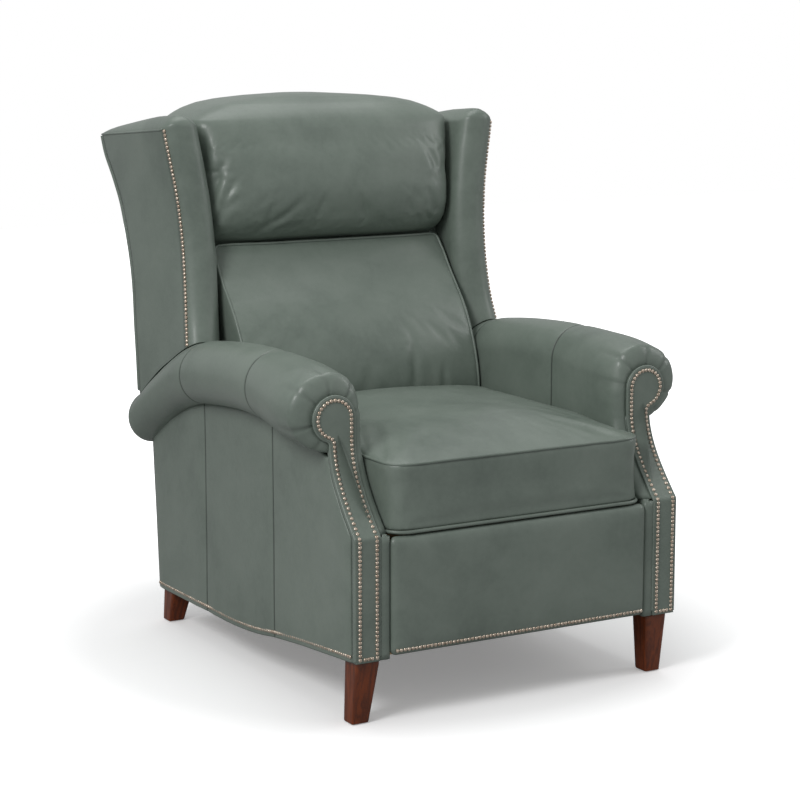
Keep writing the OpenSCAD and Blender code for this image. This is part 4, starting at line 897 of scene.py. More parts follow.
def finish_pad(piece, body, stood_for):
    """Smooths a cushion with one level of Subdivision Surface, hangs it on its body in place of its solid and
    measures its bends.
    """
    sub = piece.modifiers.new("smooth", "SUBSURF")
    sub.levels = sub.render_levels = 1
    dress(piece, body, stood_for, reach=0.01, rounds=4)


def lid(edge, shares):
    """Rings that close an end: its edge drawn towards its middle by a share, and lifted."""
    mid = edge.mean(0)
    return [mid + (edge - mid) * [d, d, 1] + [0, 0, lift] for d, lift in shares]


def welt(name, route, radius, body, closed):
    """A piped welt: a round tube along a route, dressed in leather."""
    dress(piece_from(name, [skin_arrays(tube(route, radius), closed_path=closed)]), body)


def mm(points):
    """x, y and z in millimetres from the arm fronts, from metres in the shared frame."""
    return points[:, 0] * 1000, points[:, 1] * 1000 + MID_Y, points[:, 2] * 1000


print("welt and fold helpers ready")

# %% [markdown]
# ## Seat cushion
# The seat is a boxed cushion: a top, a bottom and a band between them, with a welt along both seams. Its
# case is a stack of rounded rectangles. The band is drawn in at half its height and the top is crowned.

# %% Seat cushion
def rounded_box(half_x, y0, y1, r):
    """Points round a rectangle with corners of radius r, at even steps of its outline."""
    a = np.radians(np.arange(0, 90.1, 6))
    hx, cy, hy = half_x - r, (y0 + y1) / 2, (y1 - y0) / 2 - r
    pts = np.concatenate([np.stack([sx * hx + r * np.cos(a + q), cy + sy * hy + r * np.sin(a + q)], -1)
                          for sx, sy, q in ((1, 1, 0), (-1, 1, np.pi / 2), (-1, -1, np.pi), (1, -1, 1.5 * np.pi))])
    return resampled(np.concatenate([pts, pts[:1]]), 240, closed=True)


# the seat's bottom and upper seam, the crown over its front edge, its depth and its half width
SEAT_LOW, SEAT_SEAM, SEAT_CROWN, SEAT_D, SEAT_HALF = 360.4, 487.0, 29.0, 587.0, 281.0
SEAT_REACH = SEAT_HALF - 3


def seat_ring(inset, h):
    """The seat's outline drawn in by the inset and laid at the height h."""
    xy = rounded_box(SEAT_HALF - inset, 2.0 + inset, SEAT_D - inset, max(38.0 - inset * 0.6, 6.0))
    return np.concatenate([xy, np.full((len(xy), 1), h)], 1)


# each ring's inset and height: the bottom, the drawn-in band, the seam, and the crown from edge to middle
plan = [(150, SEAT_LOW), (60, SEAT_LOW), (12, SEAT_LOW), (3, 360.6), (0.6, 361.6), (0, 364.5)]
plan += [(3.5 * np.sin(np.pi * t) ** 0.8, 364.5 + 113.5 * t) for t in np.linspace(0.08, 0.92, 12)]
plan += [(0, 478), (0.5, 483), (3, SEAT_SEAM)]
plan += [(3 + d, SEAT_SEAM + SEAT_CROWN * (1 - (1 - d / SEAT_REACH) ** 3.2))
         for d in (2, 6, 14, 26, 42, 62, 88, 120, 160, 210, 262)]
seat_rings = np.array([seat_ring(i, h) for i, h in plan])
# away from the front the crown rises at once, because the cushion is held by the arms and the back
inset = np.array([i for i, _ in plan])[:, None]
X, Y, Z = seat_rings[..., 0], seat_rings[..., 1], seat_rings[..., 2]
middle = 1 - (X / SEAT_HALF) ** 2
full_crown = SEAT_SEAM + (21 + 19 * middle) * (1 - (1 - np.clip(inset - 3, 0, SEAT_REACH) / SEAT_REACH) ** 30)
share = ease((Y + 10) / 230) * (Z > SEAT_SEAM)
seat_rings[..., 2] += share * (full_crown - Z)
top_line, low_line = place(seat_ring(1.0, SEAT_SEAM)), place(seat_ring(-0.6, 360.6))


def seat_held(p):
    """Held are the bottom, the rear and the lines of both welts, each with a soft edge."""
    bottom = ease((place([0, 0, 380])[2] - p[:, 2]) / 0.014)
    rear = ease((p[:, 1] - place([0, 520, 0])[1]) / 0.03)
    return np.maximum.reduce([bottom, rear, near_line(p, top_line, 0.011), near_line(p, low_line, 0.011)])


seat = filled("seat_cushion_cover", [skin(seat_rings)], seat_held, 0.0, 0.004, 1.2)


def seat_field(p):
    """Slow waves over the front band, with a short fold near each of its corners."""
    x, y, z = mm(p)
    uneven = 0.9 * waves(x, z, 60, 31) + 0.6 * waves(x * 2.0, y * 0.4, 120, 32)
    return with_folds(uneven, x, z, [((-255, 384), (-232, 452), 0.9, 8, 0), ((236, 470), (262, 415), 0.9, 8, 0)])


push(seat, seat_field)
push(seat, lambda p: 0.0012 * waves(p[:, 0] * 1000, p[:, 1] * 1000, 190, 33), (0, 0, 1))
finish_pad(seat, "base", "seat_cushion")
welt("seat_welt_top", laid_on(seat, top_line, 0.0012), 0.0029, "base", True)
welt("seat_welt_low", low_line, 0.0036, "base", True)
print("seat cushion made")

# %% [markdown]
# ## Back cushion
# The lower back cushion is boxed too. Seen from the front its face is nearly flat, because the case is
# pulled over the deck, and it is thick at the seat and thin at the top. Folds stand on the seat where the
# filling has settled, so a few are pressed in there.

# %% Back cushion
# The cushion's thickness and the bow of its face, from its foot to its upper seam, both in millimetres.
BACK_THICK = [[0, 60], [0.05, 110], [0.12, 132], [0.2, 141], [0.33, 143], [0.42, 139], [0.5, 131], [0.58, 120],
              [0.66, 105], [0.75, 82], [0.84, 60], [0.91, 46], [0.96, 37], [1, 30]]
BACK_CROWN = [[0, 0], [0.14, 4], [0.26, 11], [0.4, 19], [0.58, 22], [0.75, 20], [0.9, 15], [1, 10]]
BACK_H0, BACK_SEAM, BACK_HALF = 431.0, 819.0, 277.0


def slab_ring(h, half, thick, crown, rear):
    """One level of a cushion that lies on the deck: a crowned front between two rounded corners, straight
    sides, and a flat rear. The crown is one less the square of the distance from the middle."""
    s, corner = np.linspace(-1, 1, 70), 7.0
    fx = s * (half - corner)
    fy = rear - thick - crown * (1 - s ** 2)
    a = np.radians(np.linspace(90, 0, 7))[1:]
    cx = half - corner + corner * np.cos(a)
    cy = rear - thick + corner - corner * np.sin(a)
    side = np.linspace(0, 1, 14)[1:]
    sy = rear - thick + corner + (thick - corner) * side
    sx = half + 2.0 * np.sin(np.pi * side)
    x = np.concatenate([fx, cx, sx, np.linspace(half, -half, 30)[1:-1], -sx[::-1], -cx[::-1]])
    y = np.concatenate([fy, cy, sy, np.full(28, rear), sy[::-1], cy[::-1]])
    return np.stack([x, y, np.full(len(x), h)], -1)


def back_level(t):
    """Height, half width, thickness, bow and rear of one level, with t from 0 at the foot to 1 at the seam."""
    h = BACK_H0 + t * (BACK_SEAM - BACK_H0)
    narrow = 6 * (1 - ease(t / 0.1)) + 5 * ease((t - 0.9) / 0.1)
    return h, BACK_HALF - narrow, batten(t, BACK_THICK), batten(t, BACK_CROWN), deck(h) - 0.6


back_rings = [slab_ring(*back_level(t)) for t in np.linspace(0, 1, 60)]
back_rings = (lid(back_rings[0], ((0.2, 0), (0.6, 0), (0.9, 0), (0.98, 0))) + back_rings
              + lid(back_rings[-1], ((0.98, 1.0), (0.9, 1.6), (0.6, 1.8), (0.2, 1.8))))
side_line = np.array([[half - 2.4, rear - thick + 2.4, h]
                      for h, half, thick, _, rear in map(back_level, np.linspace(0.12, 0.992, 90))])
h, half, thick, crown, rear = back_level(1.0)
s = np.linspace(1, -1, 90)
top_edge = np.stack([s * (half - 7), rear - thick - crown * (1 - s ** 2), np.full(90, h)], -1)
back_line = place(np.concatenate([side_line, top_edge, side_line[::-1] * [-1, 1, 1]]))


def back_held(p):
    """Held are the rear, the sides, the top, the foot and the welt's line, each with a soft edge."""
    x, y, h = mm(p)
    rear = ease((y - deck(h) + 26) / 14)
    side = ease((np.abs(x) - 268) / 8)
    top = ease((h - 812) / 8)
    return np.maximum.reduce([rear, 0.85 * side, top, near_line(p, back_line, 0.012), ease((470 - h) / 20)])


back = filled("back_cushion_cover", [skin(np.array(back_rings))], back_held, 0.001, 0.005, 1.5)
# each fold's start and end in x and height, its depth, its width and its bow
BACK_FOLDS = [((112, 500), (118, 648), 3.6, 9, 3), ((-22, 500), (20, 640), 1.4, 13, -8),
              ((190, 498), (186, 570), 3.0, 8, 2), ((-150, 500), (-120, 560), 1.2, 12, 4)]


def back_field(p):
    """Slow waves over the face, with its folds."""
    x, _, z = mm(p)
    return with_folds(1.3 * waves(x, z, 210, 41) + 0.5 * waves(x * 1.3, z, 80, 42), x, z, BACK_FOLDS)


push(back, back_field)
finish_pad(back, "back", "back_cushion")
welt("back_welt", laid_on(back, back_line, 0.0015, closed=False), 0.0029, "back", False)
print("back cushion made")

# %% [markdown]
# ## Head pillow
# The pillow is a loose bolster sewn to the top of the back. It hangs over the seam of the cushion below,
# swells forwards, widens towards the tops of the wings, and turns back over the chair. Its sides are gathered,
# so folds run in from its lower corners.

# %% Head pillow
# From foot to top: the share of the height, then of the half width, of the thickness in front of the deck, of
# the overhang behind it, and of the bow in the middle.
PILLOW = np.array([[0, 0.8, 0.14, 0, 0.2], [0.03, 0.85, 0.36, 0, 0.5], [0.08, 0.88, 0.58, 0, 0.8],
                   [0.14, 0.893, 0.76, 0, 1], [0.23, 0.9, 0.92, 0, 1], [0.34, 0.905, 0.99, 0, 1],
                   [0.46, 0.912, 1, 0, 1], [0.58, 0.925, 1, 0, 1], [0.7, 0.94, 0.97, 0, 0.95],
                   [0.76, 0.947, 0.945, 0, 0.9], [0.775, 0.95, 0.94, 0.9, 0.88], [0.81, 0.96, 0.91, 0.98, 0.85],
                   [0.84, 0.95, 0.88, 1, 0.78], [0.873, 0.895, 0.83, 0.99, 0.7], [0.905, 0.83, 0.76, 0.95, 0.6],
                   [0.94, 0.735, 0.66, 0.85, 0.47], [0.965, 0.61, 0.54, 0.72, 0.33], [0.985, 0.42, 0.4, 0.58, 0.18],
                   [1, 0.15, 0.2, 0.42, 0]])
PILLOW_H0, PILLOW_TOP, PILLOW_HALF, PILLOW_FORE, PILLOW_AFT = 821.0, 1128.0, 320.0, 105.0, 194.0


def soft_slab(h, half, front, mid, rear, crown):
    """One level of a bolster: in front half of a squarish oval, whose cosine and sine are raised to a power
    below 1, bowed forwards in the middle by the crown, and behind either a flat or a second half oval."""
    a = np.linspace(0, np.pi, 110)
    ux, uy = squarish(np.cos(a), 0.34), squarish(np.sin(a), 0.34)
    fore = np.stack([half * ux, mid - (mid - front) * uy - crown * (1 - ux ** 2)], -1)
    b = np.linspace(0, np.pi, 60)[1:-1]
    bx, by = squarish(np.cos(b), 0.6), squarish(np.sin(b), 0.6)
    flat = np.linspace(-1, 1, 60)[1:-1]
    aft = np.stack([-half * bx if rear > mid + 1 else half * flat, mid + (rear - mid) * by], -1)
    xy = np.concatenate([fore, aft])
    return np.concatenate([xy, np.full((len(xy), 1), h)], 1)


def pillow_ring(t):
    """One level of the pillow, with its shares read between the table's rows."""
    w, thick, over, crown = (np.interp(t, PILLOW[:, 0], PILLOW[:, i]) for i in (1, 2, 3, 4))
    h = PILLOW_H0 + t * (PILLOW_TOP - PILLOW_H0)
    mid = deck(h) - 0.6
    return soft_slab(h, PILLOW_HALF * w, mid - PILLOW_FORE * thick, mid, mid + PILLOW_AFT * over, 16 * crown)


levels = np.unique(np.concatenate([np.linspace(0, 0.76, 40), [0.763, 0.767, 0.771], np.linspace(0.775, 1, 44)]))
pillow_rings = [pillow_ring(t) for t in levels]
drawn = ((0.9, 0), (0.6, 0), (0.25, 0))
pillow_rings = lid(pillow_rings[0], drawn[::-1]) + pillow_rings + lid(pillow_rings[-1], drawn)


def pillow_held(p):
    """Held are the rear, the underside, the overhang's rear and the top, each with a soft edge."""
    _, y, h = mm(p)
    rear = ease((y - deck(h) + 16) / 12) * (h < 1060)
    under = ease((848 - h) / 14)
    back_side = ease((y - deck(h) - 150) / 20)
    return np.maximum.reduce([rear, under, back_side, 0.9 * ease((h - 1010) / 60)])


# the hem that sews the pillow to the back runs down behind the cushion below
hem = prism([[264, -12], [264, -0.6], [-264, -0.6], [-264, -12]], (812, 824, 838), deck)
pillow = filled("head_pillow_cover", [skin(np.array(pillow_rings)), skin(hem)], pillow_held, 0.004, 0.008, 3.0)
PILLOW_FOLDS = [((-305, 955), (-292, 1070), 4.5, 8, -4), ((-286, 898), (-250, 1018), 5.0, 6, 6),
                ((-274, 892), (-222, 980), 4.2, 6, 5), ((-296, 852), (-220, 936), 4.0, 7, 6),
                ((-208, 838), (-70, 938), 4.0, 9, -10), ((-158, 840), (-92, 866), 2.8, 7, 2),
                ((246, 864), (208, 930), 4.4, 7, -4), ((246, 960), (212, 1024), 2.4, 9, -5),
                ((240, 850), (204, 878), 2.4, 6, 0)]


def pillow_field(p):
    """Slow waves over the face, with its folds."""
    x, _, z = mm(p)
    return with_folds(1.4 * waves(x, z, 230, 51) + 0.5 * waves(x, z * 1.4, 90, 52), x, z, PILLOW_FOLDS)


push(pillow, pillow_field)
finish_pad(pillow, "back", "head_pillow")
print("pillow made")

# %% [markdown]
# ## Footrest panel
# The footrest stands upright in front of the seat: a board with a thin pad, pulled tight. It needs no
# filling by cloth. Its face is a stack of rounded rectangles that rises quickly from the edge and then
# stays nearly flat.

# %% Footrest panel
REST_W, REST_LOW, REST_HIGH = 571.0, 131.0, 354.6


def rest_ring(inset, y):
    """A rounded rectangle that starts halfway up its right side, with as many points on each side for every
    inset, so that the rings join without a twist."""
    a = np.radians(np.linspace(0, 90, 10))
    hx, hz, r = REST_W / 2 - inset, (REST_HIGH - REST_LOW) / 2 - inset, 12.0
    up, across = np.linspace(0, hz - r, 21), np.linspace(hx - r, r - hx, 101)
    sides = np.full(20, hx)
    x = np.concatenate([sides, hx - r + r * np.cos(a), across[1:-1], r - hx - r * np.sin(a), -sides])
    z = np.concatenate([up[:-1], hz - r + r * np.sin(a), np.full(99, hz), hz - r + r * np.cos(a), up[::-1][1:]])
    x, z = np.concatenate([x, x[::-1]]), np.concatenate([z + 0.01, -z[::-1] - 0.01]) + (REST_HIGH + REST_LOW) / 2
    return np.stack([x, np.full(len(x), y), z], -1)


# each ring's inset from the edge, and how far behind the arm fronts it lies
plan = [(60, 11.8), (6, 11.8), (1.5, 11.6), (0.4, 10), (0, 7), (0.3, 4.4), (1.2, 2.0), (2.8, -0.3), (5, -2.2),
        (8, -3.8), (12, -5.2), (18, -6.3), (27, -7.2), (42, -7.8), (65, -8), (80, -8), (96, -8.0)]
P = np.array([rest_ring(i, y) for i, y in plan])
front = P[..., 1] < -2
fade = ease((80 - np.array([i for i, _ in plan])) / 60)[:, None]
P[..., 1] += front * 0.7 * waves(P[..., 0], P[..., 2], 200, 61) * fade
rest_cover = dress(piece_from("footrest_cover", [skin(P)]), "footrest", "footrest_pad")


def rest_face(z):
    """How far the footrest's face stands out at height z, read from its plan."""
    inset = np.minimum(z - REST_LOW, REST_HIGH - z)
    return np.interp(inset, [p[0] for p in plan[4:]], [p[1] for p in plan[4:]])


print("footrest made")

# %% [markdown]
# ## Nails
# Hundreds of pearl-headed nails hold and trim the leather's edges. One nail is a low dome of four rings,
# so that hundreds of them stay light. All the nails of a row are one mesh: the dome is turned to face out
# at every step of the row's line.

# %% Nails
NAIL_R, NAIL_H, NAIL_SIDES = 3.7, 2.5, 10


def dome():
    """Points and faces of one nail's head, with its base in the plane of x and y: rings at falling radii."""
    a = np.linspace(0, 2 * np.pi, NAIL_SIDES, endpoint=False)
    rings = ((1, -2.2), (1, 0.5), (0.82, NAIL_H * 0.66), (0.45, NAIL_H * 0.94))
    circle = np.stack([np.cos(a), np.sin(a), 0 * a], -1)
    return skin_arrays(np.array([NAIL_R * r * circle + [0, 0, h] for r, h in rings]))


def nail_row(points, outward):
    """One dome per point, whose top looks along outward, which is one direction or one per point."""
    head = dome()
    shells = []
    for p, o in zip(points, np.broadcast_to(np.array(outward, float), points.shape)):
        o = o / np.linalg.norm(o)
        side = np.cross([0.0, 0.0, 1.0], o)
        side /= np.linalg.norm(side)
        shells.append((place(head[0] @ np.stack([side, np.cross(o, side), o]) + p), head[1], head[2]))
    return shells


def sweep_out(h):
    """The direction in which the arm front faces at a height: forwards, and up where it sweeps back."""
    slope = (front_y(h + 1) - front_y(h - 1)) / 2
    return np.stack([np.zeros_like(h), -np.ones_like(h), slope], -1)


ROW_IN, ROW_LOW = 7.2, 133.2
base_shells, wing_shells = [], []
for sign in (1, -1):
    line = front_outline(ROW_IN)
    line = line[:-1] if line[-1, 1] < ROW_LOW + 0.8 else line
    line = resampled(np.concatenate([line, [[HALF_W - ROW_IN, ROW_LOW]]]))
    base_shells += nail_row(on_front(line, 0.2, sign), sweep_out(line[:, 1]))
    foot = resampled([[FRONT_X + 17.4, ROW_LOW], [HALF_W - 17.4, ROW_LOW]])
    base_shells += nail_row(on_front(foot, 0.2, sign), (0, -1, 0))
    ys = np.linspace(FRONT_T + 7, SIDE_LEN - 7, 300)
    side = resampled(np.stack([np.full(300, HALF_W), ys, skirt_h(ys) + 11.2], -1))
    side[:, 0] = sign * (HALF_W + 0.2)
    base_shells += nail_row(side, (sign, 0, 0))
    rows = resampled([wing_ring(l)[33] for l in np.linspace(0.012, 0.99, 120)])
    rows += [1.2, -0.8, 0]
    rows[:, 0] *= sign
    tilt = np.gradient(rows[:, 0], rows[:, 2])
    ones = np.ones(len(rows))
    wing_shells += nail_row(rows, np.stack([sign * 0.82 * ones, -0.57 * ones, -sign * tilt], -1))
rest_x = resampled([[-REST_W / 2 + 10, 0], [REST_W / 2 - 10, 0]])[:, :1]
edge_z = REST_LOW + 10.6
rest_row = rest_x * [1, 0, 0] + [0, float(rest_face(edge_z)) + 0.2, edge_z]
nail_pieces = []
for name, shells, body, solid in (
        ("arm_and_side_nails", base_shells, "base", "base_nails"),
        ("wing_front_nails", wing_shells, "back", "wing_nails"),
        ("footrest_foot_nails", nail_row(rest_row, (0, -1, -0.12)), "footrest", "footrest_nails")):
    nail_pieces.append(dress(piece_from(name, shells), body, solid, slot="nails"))
print("nails:", len(base_shells) + len(wing_shells) + len(rest_row))

# %% [markdown]
# ## Feet
# The feet are sawn from square cherry, tapered towards the glide and raked back. A softened square is drawn
# from the skirt down to the glide, and its edges are rounded by a hair, because the light catches them.

# %% Feet
HALF_TOP, HALF_LOW, GLIDE_H = 24.0, 17.5, 2.0


def foot(y, rake, foot_h):
    """A tapered post: a rounded square of 48 at the top goes to one of 35 at the glide. Its outer face stays
    upright and its front face leans back by the rake."""
    a = np.linspace(0, 2 * np.pi, 48, endpoint=False)
    square = np.stack([np.cos(a), np.sin(a)], -1)
    square /= (np.abs(square) ** 14).sum(-1, keepdims=True) ** (1 / 14)
    rings = []
    for h in np.concatenate([[GLIDE_H, 2.5, 4.0], np.linspace(8, foot_h, 20)]):
        t = (foot_h - h) / (foot_h - GLIDE_H)
        half = (HALF_TOP - (HALF_TOP - HALF_LOW) * t) * (1 - 0.03 * np.exp(-(h - GLIDE_H) / 1.2))
        centre = np.array([HALF_W - 8.0 - half, y + rake * t + half])
        rings.append(np.concatenate([centre + square * half, np.full((48, 1), h)], 1))
    top = rings[-1].copy()
    top[:, 2] = np.maximum(skirt_h(np.clip(top[:, 1], 0, SIDE_LEN)) - 0.2, foot_h)
    return [skin(np.array(rings + [top]))], None


wood_pieces = []
for name, y, rake, h in (("front_foot", 14.0, 18.0, 117.0), ("rear_foot", SIDE_LEN - 7 - 48, 20.0, 72.8)):
    wood_pieces += both_sides(name + "_turned", lambda: foot(y, rake, h), "base", name, slot="feet")
print("feet made")

# %% [markdown]
# ## Leather
# Aniline leather is a hide that shows through its dye. From a step away it has soft clouds of lighter and
# darker green; where it is pulled over an edge it is paler and a little shinier, partly from wear and partly as a
# painted highlight, and in a seam, a pleat or a fold painted shade makes it darker. Close up it has a pebble of
# cells a millimetre across. That takes some thirty nodes, and placing them by hand hides the idea, so a few
# helpers write a node graph almost as a formula.

# %% Shader helpers
def feed(tree, made, inputs):
    """Links each named input of a node to a socket, or sets it to a value."""
    for key, value in inputs.items():
        if hasattr(value, "is_output"):
            tree.links.new(value, made.inputs[key])
        else:
            made.inputs[key].default_value = value


def node(tree, kind, inputs, output=0, **settings):
    """One output of a new node of a kind, with its settings made and its inputs fed."""
    made = tree.nodes.new("ShaderNode" + kind)
    for key, value in settings.items():
        setattr(made, key, value)
    feed(tree, made, inputs)
    return made.outputs[output]


def add(tree, a, b, clamp=False):
    """The sum of two values, held between 0 and 1 with clamp."""
    return node(tree, "Math", {0: a, 1: b}, operation="ADD", use_clamp=clamp)


def times(tree, a, b):
    """The product of two values."""
    return node(tree, "Math", {0: a, 1: b}, operation="MULTIPLY")


def blend_colour(tree, factor, a, b):
    """The colour a where the factor is 0, and the colour b where it is 1."""
    return node(tree, "Mix", {0: factor, 6: a, 7: b}, 2, data_type="RGBA")


def noise(tree, vector, scale, detail=3.0, roughness=0.5, distortion=0.0):
    """Soft noise over a vector, finer the higher the scale."""
    return node(tree, "TexNoise", {"Vector": vector, "Scale": scale, "Detail": detail, "Roughness": roughness,
                                   "Distortion": distortion})


def between(tree, value, low, high, to_low=0.0, to_high=1.0):
    """The value's way from low to high, laid out from to_low to to_high."""
    return node(tree, "MapRange", {"Value": value, "From Min": low, "From Max": high, "To Min": to_low,
                                   "To Max": to_high})


def linear(r, g, b):
    """A colour written as 0 to 255 for the screen, as the linear values a shader needs."""
    c = np.array([r, g, b]) / 255.0
    c = np.where(c <= 0.04045, c / 12.92, ((c + 0.055) / 1.055) ** 2.4)
    return (*c.tolist(), 1.0)


def group_with(name, inputs):
    """A new node group with its named inputs, and a colour, a roughness and a height as its outputs."""
    group = bpy.data.node_groups.new(name, "ShaderNodeTree")
    outputs = (("Colour", "Color", None), ("Roughness", "Float", None), ("Height", "Float", None))
    for way, sockets in (("INPUT", inputs), ("OUTPUT", outputs)):
        for label, kind, value in sockets:
            socket = group.interface.new_socket(name=label, in_out=way, socket_type="NodeSocket" + kind)
            if value is not None:
                socket.default_value = value
    return group, group.nodes.new("NodeGroupInput").outputs, group.nodes.new("NodeGroupOutput")


print("shader helpers ready")

# %% [markdown]
# ## The hide
# One node group holds the clouds, the pale edges with their wear and painted highlight, the painted shade of folds
# and seams, and the pebble, because the cushions and the frame's hidden leather share them at their own strengths,
# the hidden leather in a darker copy that paints its shade. It gives a colour, a roughness and a height, and the
# Principled shader stays in each material.

# %% Leather group
hide, given, result = group_with("aniline_hide", (
    ("Vector", "Vector", None), ("Bend", "Float", 0.0), ("Seam", "Float", 0.0), ("Body Colour", "Color", None),
    ("Pale Colour", "Color", None), ("Deep Colour", "Color", None), ("Cloud", "Float", 0.5), ("Wear_Sheen_And_Shade", "Float", 0.5)))
broad = noise(hide, given["Vector"], 4.2, 3.0, 0.55, 0.6)
middle = noise(hide, given["Vector"], 17.0, 4.0, 0.6, 0.4)
fine = noise(hide, given["Vector"], 95.0, 3.0, 0.6)
cloud = add(hide, add(hide, times(hide, broad, 0.55), times(hide, middle, 0.3)), times(hide, fine, 0.15))
# edges that turn outwards grow paler, partly as wear and partly as a painted highlight; hollows and folds grow darker
# with painted shade
stretched = between(hide, given["Bend"], 0.06, 0.7)
crease_shade = between(hide, given["Bend"], -0.06, -0.7)
pale = add(hide, times(hide, between(hide, cloud, 0.50, 0.66), given["Cloud"]),
           times(hide, stretched, given["Wear_Sheen_And_Shade"]), clamp=True)
deep = add(hide, times(hide, between(hide, cloud, 0.50, 0.34), given["Cloud"]),
           times(hide, crease_shade, given["Wear_Sheen_And_Shade"]), clamp=True)
colour = blend_colour(hide, pale, given["Body Colour"], given["Pale Colour"])
colour = blend_colour(hide, deep, colour, given["Deep Colour"])
# painted shade: a near-black line along seams, joints and pleat valleys
colour = blend_colour(hide, times(hide, given["Seam"], 0.8), colour, linear(30, 36, 32))
rough = add(hide, between(hide, middle, 0.3, 0.7, 0.33, 0.44), times(hide, stretched, -0.07))
cells = node(hide, "TexVoronoi", {"Vector": given["Vector"], "Scale": 620.0}, "Distance", feature="DISTANCE_TO_EDGE")
height = add(hide, times(hide, between(hide, cells, 0.0, 0.22), 0.5), times(hide, fine, 1.6))
feed(hide, result, {"Colour": colour, "Roughness": add(hide, rough, times(hide, crease_shade, 0.15)), "Height": height})


def shader_start(name):
    """A new material, its tree, its Principled shader and the Object coordinates."""
    made = bpy.data.materials.new(name)
    made.use_nodes = True
    tree = made.node_tree
    return made, tree, tree.nodes["Principled BSDF"], node(tree, "TexCoord", {}, "Object")


def surface(tree, shader, colour, rough, height, strength, distance, **more):
    """Feeds a Principled shader its colour, its roughness and its relief, and what else is named."""
    bump = node(tree, "Bump", {"Strength": strength, "Distance": distance, "Height": height})
    feed(tree, shader, {"Base Color": colour, "Roughness": rough, "Normal": bump})
    feed(tree, shader, {key.replace("_", " "): value for key, value in more.items()})


def from_group(tree, group, values):
    """The colour, the roughness and the height that a node group makes of the values."""
    box = tree.nodes.new("ShaderNodeGroup")
    box.node_tree = group
    feed(tree, box, values)
    return box.outputs["Colour"], box.outputs["Roughness"], box.outputs["Height"]


def leather(name, body, pale_c, deep_c, cloud_v, wear_sheen_and_shade_v):
    """A leather of the hide group, which reads "bend" and "seam" from a piece: worn edges with a painted highlight,
    and painted shade in its folds, seams and pleats.
    """
    made, tree, shader, vec = shader_start(name)
    values = {"Vector": vec, "Body Colour": body, "Pale Colour": pale_c, "Deep Colour": deep_c, "Cloud": cloud_v,
              "Wear_Sheen_And_Shade": wear_sheen_and_shade_v}
    for mark in ("Bend", "Seam"):
        values[mark] = node(tree, "Attribute", {}, "Fac", attribute_name=mark.lower())
    surface(tree, shader, *from_group(tree, hide, values), 0.55, 0.00022, Specular_IOR_Level=0.42, Coat_Weight=0.16,
            Coat_Roughness=0.2)
    return made


sage = leather("sage_leather", linear(112, 123, 114), linear(126, 136, 127), linear(88, 99, 91), 0.55, 0.55)
# a darker copy of the sage leather paints shade on the frame's leather inside the chair
shaded_sage = leather("sage_leather_shaded", linear(84, 93, 86), linear(96, 104, 98), linear(62, 70, 65), 0.5, 0.3)
print("leather ready")

# %% [markdown]
# ## Wood
# The feet are cherry under a brown stain: long grain with darker pores and a lacquer coat. The frame inside
# is plain oak ply. Both are cut along the grain, so a noise is drawn out along one axis, and its value goes
# through a sine, which turns it into growth rings.

# %% Grain group
def scaled(tree, vector, *scale):
    """The vector times a scale along each axis."""
    return node(tree, "Mapping", {"Vector": vector, "Scale": scale})


def sine(tree, value):
    """The sine of a value."""
    return node(tree, "Math", {0: value, 1: 0.0}, operation="SINE")


grain, given, result = group_with("long_grain", (
    ("Vector", "Vector", None), ("Light Wood", "Color", None), ("Dark Wood", "Color", None), ("Rings", "Float", 60.0),
    ("Pores", "Float", 0.4)))
warp = noise(grain, scaled(grain, given["Vector"], 1.0, 1.0, 0.09), 30.0, 4.0, 0.6, 0.8)
ring_line = between(grain, sine(grain, times(grain, warp, given["Rings"])), -1.0, 1.0)
pores = between(grain, noise(grain, scaled(grain, given["Vector"], 1.0, 1.0, 0.04), 900.0, 2.0), 0.52, 0.68)
mix = add(grain, times(grain, ring_line, 0.6), times(grain, pores, given["Pores"]), clamp=True)
feed(grain, result, {"Colour": blend_colour(grain, mix, given["Light Wood"], given["Dark Wood"]),
                     "Roughness": between(grain, mix, 0.0, 1.0, 0.34, 0.52),
                     "Height": node(grain, "Math", {0: 1.0, 1: mix}, operation="SUBTRACT")})


def wood(name, light, dark, rings, pore_v, coat, turn=(0, 0, 0)):
    """A wood of the grain group under a coat of lacquer. Its grain is long in z, unless turn turns it."""
    made, tree, shader, vec = shader_start(name)
    values = {"Vector": node(tree, "Mapping", {"Vector": vec, "Rotation": turn}), "Light Wood": light,
              "Dark Wood": dark, "Rings": rings, "Pores": pore_v}
    surface(tree, shader, *from_group(tree, grain, values), 0.3, 0.0003, Coat_Weight=coat, Coat_Roughness=0.18)
    return made


cherry = wood("stained_cherry", linear(122, 52, 4), linear(70, 25, 1), 34.0, 0.35, 0.2)
oak = wood("oak_ply", linear(196, 164, 118), linear(150, 116, 76), 40.0, 0.5, 0.0)
oak_across = wood("oak_rail", linear(192, 160, 114), linear(146, 112, 74), 40.0, 0.5, 0.0, (0, np.pi / 2, 0))
print("woods ready")

# %% [markdown]
# ## Metal and cloth
# Each nail is nickel over brass, rubbed bright in places and browner in others. The mechanism is rolled
# steel with faint scratches. A web of jute holds the back, and a dark cloth covers the springs under the
# seat. A weave could be an image, but two crossed sines give the same over and under at any distance.

# %% Metal and cloth
def metal(name, bright, dull, rough_low, rough_high, streaks, metallic):
    """Bare metal: a noise mixes a bright and a dull tone, and a stretched noise scratches its gloss."""
    made, tree, shader, vec = shader_start(name)
    tone = between(tree, noise(tree, vec, 240.0, 3.0), 0.35, 0.68)
    scratch = noise(tree, scaled(tree, vec, *streaks), 300.0, 2.0)
    surface(tree, shader, blend_colour(tree, tone, bright, dull),
            between(tree, scratch, 0.3, 0.7, rough_low, rough_high), scratch, 0.15, 0.0002, Metallic=metallic)
    return made


nickel = metal("antique_nickel", linear(232, 218, 202), linear(172, 150, 130), 0.26, 0.40, (1, 1, 1), 0.9)
steel = metal("rolled_steel", linear(150, 152, 155), linear(106, 108, 112), 0.32, 0.5, (1, 0.1, 1), 1.0)


